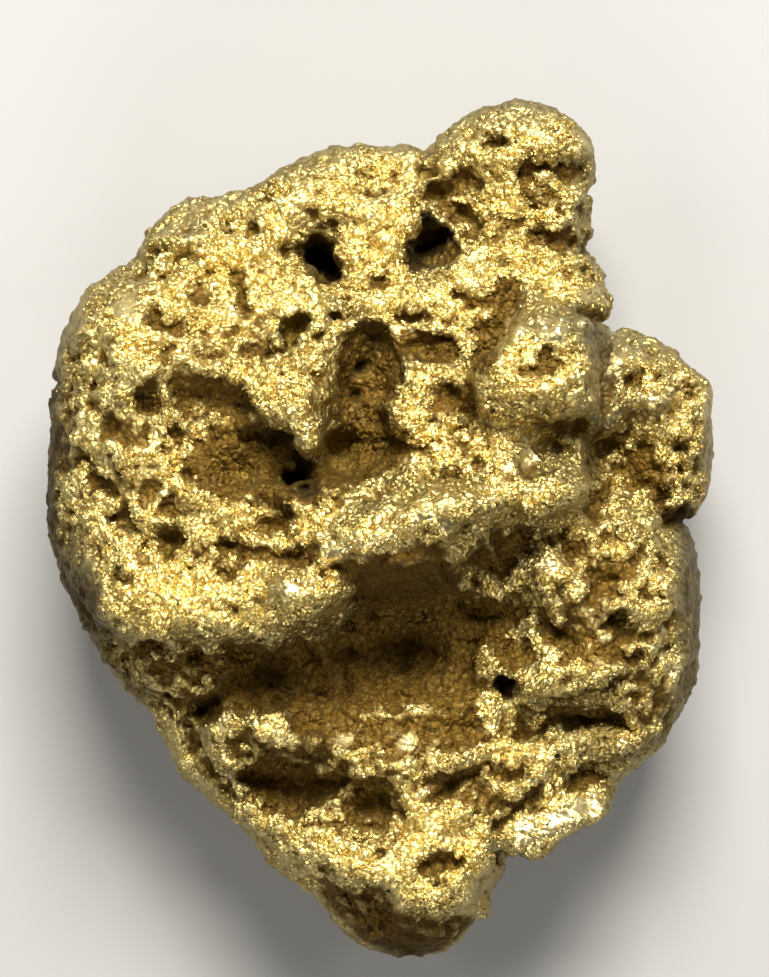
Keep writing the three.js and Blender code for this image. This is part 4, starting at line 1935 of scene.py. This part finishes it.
@dataclass
class Grains:
    """A crop of small gold grains, each a closed irregular stone, half sunk into the skin.

    Sizes run from least to most, in millimetres. A grain stands out by its own size times the rise, and
    a shy crop keeps away from stained and steep skin.
    """

    name: str
    count: int
    least: float
    most: float
    kind: Stone
    seed: int
    rise: float
    shy: float

    def stone(self) -> tuple[np.ndarray, np.ndarray]:
        """The plain stone that every grain starts from.

        Returns:
            Its corners, and its triangles.
        """
        shell = bmesh.new()
        if self.kind is Stone.ROUND:
            bmesh.ops.create_icosphere(shell, subdivisions=1, radius=1.0)
        else:
            lift = Matrix.Translation((0, 0, 0.5))
            bmesh.ops.create_cone(shell, segments=4, radius1=1.0, radius2=0.0, depth=1.0, matrix=lift)
            base = [face for face in shell.faces if len(face.verts) > 3]
            bmesh.ops.delete(shell, geom=base, context="FACES_ONLY")
            tip = shell.verts.new((0.0, 0.0, -1.0))
            shell.verts.ensure_lookup_table()
            for edge in [edge for edge in shell.edges if edge.is_boundary]:
                shell.faces.new((*edge.verts, tip))
            bmesh.ops.recalc_face_normals(shell, faces=shell.faces)
        corners = np.array([corner.co for corner in shell.verts])
        shell.verts.index_update()
        faces = np.array([[corner.index for corner in face.verts] for face in shell.faces])
        shell.free()
        return corners, faces

    def spots(self, clay: Clay, picker: np.random.Generator) -> tuple[np.ndarray, ...]:
        """Picks where the grains sit, more of them where the skin is rough and bright.

        Args:
            clay: The skin.
            picker: The source of chance.

        Returns:
            The places, the outward directions there, and the nearest corners of the skin.
        """
        points = clay.points()
        triangles = clay.triangles()
        worn = self.read(clay, "worn")
        stain = self.read(clay, "stain")
        steep = self.read(clay, "steep")
        a, b, c = (points[triangles[:, i]] for i in range(3))
        cross = np.cross(b - a, c - a)
        area = np.linalg.norm(cross, axis=1)
        cloud = 1.8 * read_field(a, 3.0, 10, noise.noise) + 1.6 * read_field(a, 1.1, 11, noise.noise)
        wish = (1.0 - np.clip(1.1 * worn, 0.0, 1.0)) ** 1.5 * (1.0 - self.shy * stain)
        wish *= np.clip(1.0 - 1.3 * self.shy * steep, 0.0, 1.0) * (1.0 - self.read(clay, "pitch"))
        wish *= 1.0 - 0.8 * self.read(clay, "polish_and_painted_highlight")
        wish *= np.clip(1.6 - 1.7 * self.read(clay, "shut"), 0.0, 1.0) * smooth_step(1.0, 2.5, points[:, 2])
        density = area * wish[triangles[:, 0]] * np.clip(0.6 + cloud, 0.02, 2.4)
        picked = picker.choice(len(triangles), size=self.count, p=density / density.sum())
        u, v = picker.random((2, self.count))
        flip = u + v > 1.0
        u, v = np.where(flip, 1.0 - u, u), np.where(flip, 1.0 - v, v)
        places = a[picked] + u[:, None] * (b - a)[picked] + v[:, None] * (c - a)[picked]
        outward = cross[picked] / area[picked][:, None]
        return places, outward, triangles[picked, 0]

    def read(self, clay: Clay, name: str) -> np.ndarray:
        """Reads a stored value of the skin.

        Args:
            clay: The skin.
            name: The value's name.

        Returns:
            One value for each corner.
        """
        flat = np.empty(len(clay.mesh.vertices), np.float32)
        clay.mesh.attributes[name].data.foreach_get("value", flat)
        return flat.astype(float)

    def turns(self, picker: np.random.Generator) -> np.ndarray:
        """Turns the grains every way.

        Args:
            picker: The source of chance.

        Returns:
            One matrix for each grain.
        """
        x, y, z, w = picker.normal(size=(self.count, 4)).T
        size = np.sqrt(x * x + y * y + z * z + w * w)
        x, y, z, w = x / size, y / size, z / size, w / size
        rows = (
            (1 - 2 * (y * y + z * z), 2 * (x * y - z * w), 2 * (x * z + y * w)),
            (2 * (x * y + z * w), 1 - 2 * (x * x + z * z), 2 * (y * z - x * w)),
            (2 * (x * z - y * w), 2 * (y * z + x * w), 1 - 2 * (x * x + y * y)),
        )
        return np.moveaxis(np.array(rows), 2, 0)

    def bake_map(self, mesh: bpy.types.Mesh, faces: int) -> None:
        """Gives every triangle its own half of a small square, so that no two share a place on the map.

        Args:
            mesh: The grains' mesh.
            faces: How many triangles there are.
        """
        side = math.ceil(math.sqrt(math.ceil(faces / 2)))
        index = np.arange(faces)
        square = index // 2
        corner = np.stack((square % side, square // side), axis=1)[:, None, :].astype(float)
        lower = np.array(((0.06, 0.06), (0.86, 0.06), (0.06, 0.86)))
        upper = np.array(((0.94, 0.94), (0.14, 0.94), (0.94, 0.14)))
        shape = np.where((index % 2 == 0)[:, None, None], lower[None], upper[None])
        layer = mesh.uv_layers.new(name="OFBake")
        layer.data.foreach_set("uv", ((corner + shape) / side).astype(np.float32).ravel())

    def build(self, clay: Clay) -> bpy.types.Object:
        """Sets the grains into the skin, as one joined mesh.

        Args:
            clay: The skin.

        Returns:
            The grains.
        """
        picker = np.random.default_rng(SEED + self.seed)
        corners, faces = self.stone()
        places, outward, feet = self.spots(clay, picker)
        sizes = self.least + (self.most - self.least) * picker.random(self.count) ** 2.2
        stretch = picker.uniform(0.5, 1.3, (self.count, 1, 3))
        lumpy = picker.uniform(0.68, 1.25, (self.count, len(corners), 1))
        shapes = corners[None] * lumpy * stretch * (sizes / 2)[:, None, None]
        shapes = np.einsum("nij,nkj->nki", self.turns(picker), shapes)
        shapes += (places + outward * (sizes * self.rise)[:, None])[:, None, :]
        mesh = bpy.data.meshes.new(self.name)
        count = len(corners)
        every = (faces[None] + np.arange(self.count)[:, None, None] * count).reshape(-1, 3)
        mesh.from_pydata(shapes.reshape(-1, 3).tolist(), [], every.tolist())
        self.bake_map(mesh, len(every))
        mesh.polygons.foreach_set("use_smooth", [self.kind is Stone.ROUND] * len(every))
        item = linked(self.name, mesh)
        grains = Clay(item)
        for name in ("stain", "worn", "shut", "steep", "pitch", "polish_and_painted_highlight"):
            grains.keep(name, np.repeat(self.read(clay, name)[feet], count))
        return item


CROPS: tuple[Grains, ...] = (
    Grains("coarse_grains", 8000, 0.4, 1.0, Stone.ROUND, seed=1, rise=-0.16, shy=0.95),
    Grains("fine_grains", 24000, 0.22, 0.5, Stone.SHARP, seed=2, rise=0.0, shy=0.9),
    Grains("sugar_grains", 24000, 0.18, 0.36, Stone.SHARP, seed=3, rise=0.05, shy=0.8),
)


# --------------------------------------------------------------------------------------------------
# Finish
# --------------------------------------------------------------------------------------------------


class Value:
    """A number socket of a node tree, with arithmetic."""

    def __init__(self, tree: "Tree", socket: Any) -> None:
        """Wraps a socket, or a plain number."""
        self.tree = tree
        self.socket = socket

    def _math(self, operation: str, *others: Any, clamp: bool = False) -> "Value":
        """Adds a Math node that works on this value and others.

        Args:
            operation: What the node does.
            others: The other values.
            clamp: Whether the result is held between 0 and 1.

        Returns:
            The result.
        """
        inputs = {0: self, **{i + 1: other for i, other in enumerate(others)}}
        node = self.tree.add("ShaderNodeMath", {"operation": operation, "use_clamp": clamp}, inputs)
        return Value(self.tree, node.outputs[0])

    def __add__(self, other: Any) -> "Value":
        """Sum."""
        return self._math("ADD", other)

    __radd__ = __add__

    def __mul__(self, other: Any) -> "Value":
        """Product."""
        return self._math("MULTIPLY", other)

    __rmul__ = __mul__

    def __sub__(self, other: Any) -> "Value":
        """Difference."""
        return self._math("SUBTRACT", other)

    def __rsub__(self, other: Any) -> "Value":
        """Difference, the other way round."""
        return Value(self.tree, other)._math("SUBTRACT", self)

    def clamp(self) -> "Value":
        """The value held between 0 and 1."""
        return self._math("ADD", 0.0, clamp=True)

    def ramp(self, low: float, high: float) -> "Value":
        """Rises smoothly from 0 at low to 1 at high.

        Args:
            low: The value where the rise starts.
            high: The value where it ends.

        Returns:
            The height of the rise.
        """
        node = self.tree.add(
            "ShaderNodeMapRange",
            {"interpolation_type": "SMOOTHSTEP"},
            {"Value": self, "From Min": low, "From Max": high},
        )
        return Value(self.tree, node.outputs["Result"])


MIX_COLOURS = (6, 7)
MIX_RESULT = 2


@dataclass
class Tree:
    """The node tree of one material."""

    material: bpy.types.Material

    @classmethod
    def start(cls, name: str) -> "Tree":
        """Makes a material with an empty tree.

        Args:
            name: The material's name.

        Returns:
            Its tree.
        """
        made = bpy.data.materials.new(name)
        made.use_nodes = True
        made.node_tree.nodes.clear()
        return cls(made)

    def add(self, kind: str, settings: dict[str, Any], inputs: dict[Any, Any]) -> bpy.types.Node:
        """Adds a node, sets it, and then fills its sockets.

        Args:
            kind: The node's type.
            settings: Its properties.
            inputs: For each socket, a value or a link.

        Returns:
            The node.
        """
        node = self.material.node_tree.nodes.new(kind)
        for name, value in settings.items():
            setattr(node, name, value)
        for name, value in inputs.items():
            source = value.socket if isinstance(value, Value) else value
            if isinstance(source, bpy.types.NodeSocket):
                self.material.node_tree.links.new(source, node.inputs[name])
            else:
                node.inputs[name].default_value = source
        return node

    def attribute(self, name: str) -> Value:
        """A value that was stored on the skin."""
        return Value(self, self.add("ShaderNodeAttribute", {"attribute_name": name}, {}).outputs["Fac"])

    def place(self) -> bpy.types.NodeSocket:
        """The place on the piece, in metres."""
        return self.add("ShaderNodeTexCoord", {}, {}).outputs["Object"]

    def noise(self, size: float, detail: float = 3.0, roughness: float = 0.5) -> Value:
        """Cloudy noise.

        Args:
            size: The size of its features in millimetres.
            detail: How many finer layers it has.
            roughness: How strong they are.

        Returns:
            The noise, round about a half.
        """
        node = self.add(
            "ShaderNodeTexNoise",
            {},
            {"Vector": self.place(), "Scale": 1 / (size * MM), "Detail": detail, "Roughness": roughness},
        )
        return Value(self, node.outputs["Fac"])

    def crumbs(self, size: float) -> tuple[Value, Value]:
        """The metal's own grain: crumbs packed side by side.

        Args:
            size: The size of a crumb in millimetres.

        Returns:
            The distance from each crumb's middle, and a random shade for each crumb.
        """
        node = self.add("ShaderNodeTexVoronoi", {}, {"Vector": self.place(), "Scale": 1 / (size * MM)})
        shade = self.add("ShaderNodeSeparateColor", {}, {"Color": node.outputs["Color"]})
        return Value(self, node.outputs["Distance"]), Value(self, shade.outputs["Red"])

    def mix(self, share: Value, first: Any, second: Any) -> bpy.types.NodeSocket:
        """Mixes two colours.

        Args:
            share: How much of the second colour there is.
            first: A colour or a link.
            second: A colour or a link.

        Returns:
            The mixed colour.
        """
        node = self.add("ShaderNodeMix", {"data_type": "RGBA"}, {0: share})
        for index, colour in zip(MIX_COLOURS, (first, second)):
            if isinstance(colour, bpy.types.NodeSocket):
                self.material.node_tree.links.new(colour, node.inputs[index])
            else:
                node.inputs[index].default_value = (*colour, 1.0)
        return node.outputs[MIX_RESULT]


@dataclass(frozen=True)
class NativeGold:
    """Granular native gold, brown with iron stain in its hollows and greyer where it is rubbed. Shade is
    painted into its colour where it is shut in, down steep sides, in the seams between crumbs and in deep
    pits; highlights are painted on burnished spots, and the deepest stain is painted lighter as fill light.
    """

    bright: Colour = (0.95, 0.79, 0.325)
    deep: Colour = (0.78, 0.59, 0.185)
    rubbed: Colour = (0.26, 0.21, 0.10)
    stain: Colour = (0.15, 0.082, 0.01)
    stain_painted_fill_light: Colour = (0.31, 0.205, 0.03)
    painted_highlight_gold: Colour = (1.0, 0.84, 0.41)
    shadow: Colour = (0.045, 0.027, 0.006)

    def material(self) -> bpy.types.Material:
        """Builds the material.

        Returns:
            The material.
        """
        tree = Tree.start("native_gold")
        worn = tree.attribute("worn")
        stain = tree.attribute("stain")
        shut = tree.attribute("shut")
        steep = tree.attribute("steep")
        pitch = tree.attribute("pitch")
        polish_and_painted_highlight = tree.attribute("polish_and_painted_highlight")
        cloud = tree.noise(2.4, 4.0, 0.6)
        speck = tree.noise(0.45, 2.0, 0.5)
        crumb, shade = tree.crumbs(0.42)
        dirt = (stain + (speck - 0.5) * 0.5 * stain).clamp()
        tone = tree.mix((cloud + (shade - 0.5) * 0.4).ramp(0.35, 0.68), self.bright, self.deep)
        tone = tree.mix((worn * (0.65 + shade * 0.35)).clamp(), tone, self.rubbed)
        # Stain is painted lighter where the skin is shut in, as painted fill light in the deep hollows.
        tone = tree.mix(dirt, tone, tree.mix(shut.ramp(0.4, 0.75), self.stain, self.stain_painted_fill_light))
        # Painted shade in the seams between crumbs.
        tone = tree.mix(crumb.ramp(0.42, 0.75) * (0.2 + worn * 0.25), tone, self.shadow)
        # Painted highlight: paler gold laid over the burnished spots.
        tone = tree.mix(polish_and_painted_highlight * 0.75, tone, self.painted_highlight_gold)
        # Painted shade: the shadow colour is mixed in where the skin is shut in from the room, down steep
        # sides, and in the marked pits and edges.
        tone = tree.mix((shut.ramp(0.6, 1.0) * 0.2 + steep * 0.5 + pitch).clamp(), tone, self.shadow)
        roughness = 0.42 + dirt * 0.22 + worn * 0.06 + pitch * 0.2 - polish_and_painted_highlight * 0.1
        roughness = (roughness + (speck - 0.5) * 0.2).clamp()
        metallic = (1.0 - dirt * 0.3).clamp()
        height = (tree.noise(0.5, 3.0, 0.6) * 0.8 - crumb * (0.5 + shade * 0.4)) * (1.0 - worn * 0.4)
        height = height * (1.0 - polish_and_painted_highlight * 0.8)
        bump = tree.add("ShaderNodeBump", {}, {"Strength": 0.9, "Distance": 0.34 * MM, "Height": height})
        shader = tree.add(
            "ShaderNodeBsdfPrincipled",
            {},
            {
                "Base Color": tone,
                "Roughness": roughness,
                "Metallic": metallic,
                "Specular IOR Level": 0.25,
                "Normal": bump.outputs["Normal"],
            },
        )
        tree.add("ShaderNodeOutputMaterial", {}, {"Surface": shader.outputs[0]})
        return tree.material


@dataclass(frozen=True)
class StudioPaper:
    """The pale matte paper that the nugget lies on."""

    colour: Colour = (0.37, 0.366, 0.355)

    def material(self) -> bpy.types.Material:
        """Builds the material.

        Returns:
            The material.
        """
        tree = Tree.start("studio_paper")
        inputs = {"Base Color": (*self.colour, 1.0), "Roughness": 0.9}
        shader = tree.add("ShaderNodeBsdfPrincipled", {}, inputs)
        tree.add("ShaderNodeOutputMaterial", {}, {"Surface": shader.outputs[0]})
        return tree.material


# --------------------------------------------------------------------------------------------------
# Studio
# --------------------------------------------------------------------------------------------------


@dataclass(frozen=True)
class Softbox:
    """A soft lamp: where it stands, its size and its power."""

    name: str
    at: tuple[float, float, float]
    size: Point2
    watts: float
    colour: Colour = (1.0, 0.97, 0.92)

    def hang(self, target: Vector) -> bpy.types.Object:
        """Hangs the lamp.

        Args:
            target: Where it shines.

        Returns:
            The lamp.
        """
        data = bpy.data.lights.new(self.name, "AREA")
        data.shape = "RECTANGLE"
        data.size, data.size_y = self.size
        data.energy = self.watts
        data.color = self.colour
        lamp = bpy.data.objects.new(self.name, data)
        lamp.location = self.at
        lamp.rotation_euler = (target - Vector(self.at)).to_track_quat("-Z", "Y").to_euler()
        lamp.visible_camera = False
        bpy.context.scene.collection.objects.link(lamp)
        return lamp


@dataclass
class Studio:
    """The floor, the lamps and the camera straight above the nugget.

    The picture is view_share times as wide as the nugget is long. The camera stands off the nugget's
    middle by the shares of that length in off_middle.
    """

    floor_side: float = 3.0
    lens: float = 180.0
    sensor: float = 36.0
    view_share: float = 1.136
    off_middle: Point2 = (0.004, 0.0483)
    waist_share: float = 0.4
    room_colour: Colour = (0.9, 0.93, 1.0)
    room_strength: float = 0.1
    boxes: tuple[Softbox, ...] = (
        Softbox("key", (0.03, 0.38, 0.42), (0.30, 0.20), 8.2),
        Softbox("fill_front", (-0.05, -0.42, 0.30), (0.22, 0.18), 1.1),
        Softbox("fill_left", (-0.45, 0.20, 0.30), (0.16, 0.16), 0.5),
        Softbox("fill_right", (0.45, 0.15, 0.30), (0.16, 0.16), 0.5),
    )

    def lay_floor(self) -> bpy.types.Object:
        """Lays the pale floor under the nugget.

        Returns:
            The floor.
        """
        mesh = bpy.data.meshes.new("floor")
        sheet = bmesh.new()
        bmesh.ops.create_grid(sheet, x_segments=1, y_segments=1, size=self.floor_side / 2)
        sheet.to_mesh(mesh)
        sheet.free()
        floor = linked("floor", mesh)
        floor.data.materials.append(StudioPaper().material())
        return floor

    def light(self, target: Vector) -> None:
        """Hangs the lamps, dims the room and sets how the picture shows brightness.

        Args:
            target: Where the lamps shine.
        """
        for box in self.boxes:
            box.hang(target)
        world = bpy.data.worlds.new("room")
        bpy.context.scene.world = world
        world.use_nodes = True
        backdrop = world.node_tree.nodes["Background"]
        backdrop.inputs["Color"].default_value = (*self.room_colour, 1.0)
        backdrop.inputs["Strength"].default_value = self.room_strength
        bpy.context.scene.view_settings.view_transform = "Standard"

    def aim(self, low: Vector, high: Vector) -> bpy.types.Object:
        """Sets the camera straight above the nugget, with its length along the picture's height.

        Args:
            low: The lowest corner of the nugget's box.
            high: The highest corner.

        Returns:
            The camera.
        """
        data = bpy.data.cameras.new("camera")
        data.lens = self.lens
        data.sensor_width = self.sensor
        length = high.y - low.y
        distance = length * self.view_share * self.lens / self.sensor
        waist = low.z + (high.z - low.z) * self.waist_share
        camera = bpy.data.objects.new("camera", data)
        aside, ahead = self.off_middle
        camera.location = (aside * length, ahead * length, waist + distance)
        camera.rotation_euler = (0.0, 0.0, 0.0)
        bpy.context.scene.collection.objects.link(camera)
        bpy.context.scene.camera = camera
        return camera


def dress(piece: bpy.types.Object, gold: bpy.types.Material) -> None:
    """Brings a piece from millimetres to metres, finishes it and ties it to the nugget's body.

    Args:
        piece: The piece.
        gold: Its finish.
    """
    piece.data.transform(Matrix.Scale(MM, 4))
    piece.data.materials.clear()
    piece.data.materials.append(gold)
    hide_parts(NODE)
    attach(piece, BODY)
    triangles = sum(len(face.vertices) - 2 for face in piece.data.polygons)
    LOG.info("%s: %d triangles", piece.name, triangles)


def main() -> None:
    """Builds the studio and the nugget."""
    logging.basicConfig(level=logging.INFO, format="%(name)s: %(message)s")
    low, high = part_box(NODE)
    studio = Studio()
    studio.aim(low, high)
    studio.lay_floor()
    studio.light((low + high) / 2)
    clay = Nugget().build()
    pieces = [clay.item, *(crop.build(clay) for crop in CROPS)]
    gold = NativeGold().material()
    for piece in pieces:
        dress(piece, gold)


if __name__ == "__main__":
    main()
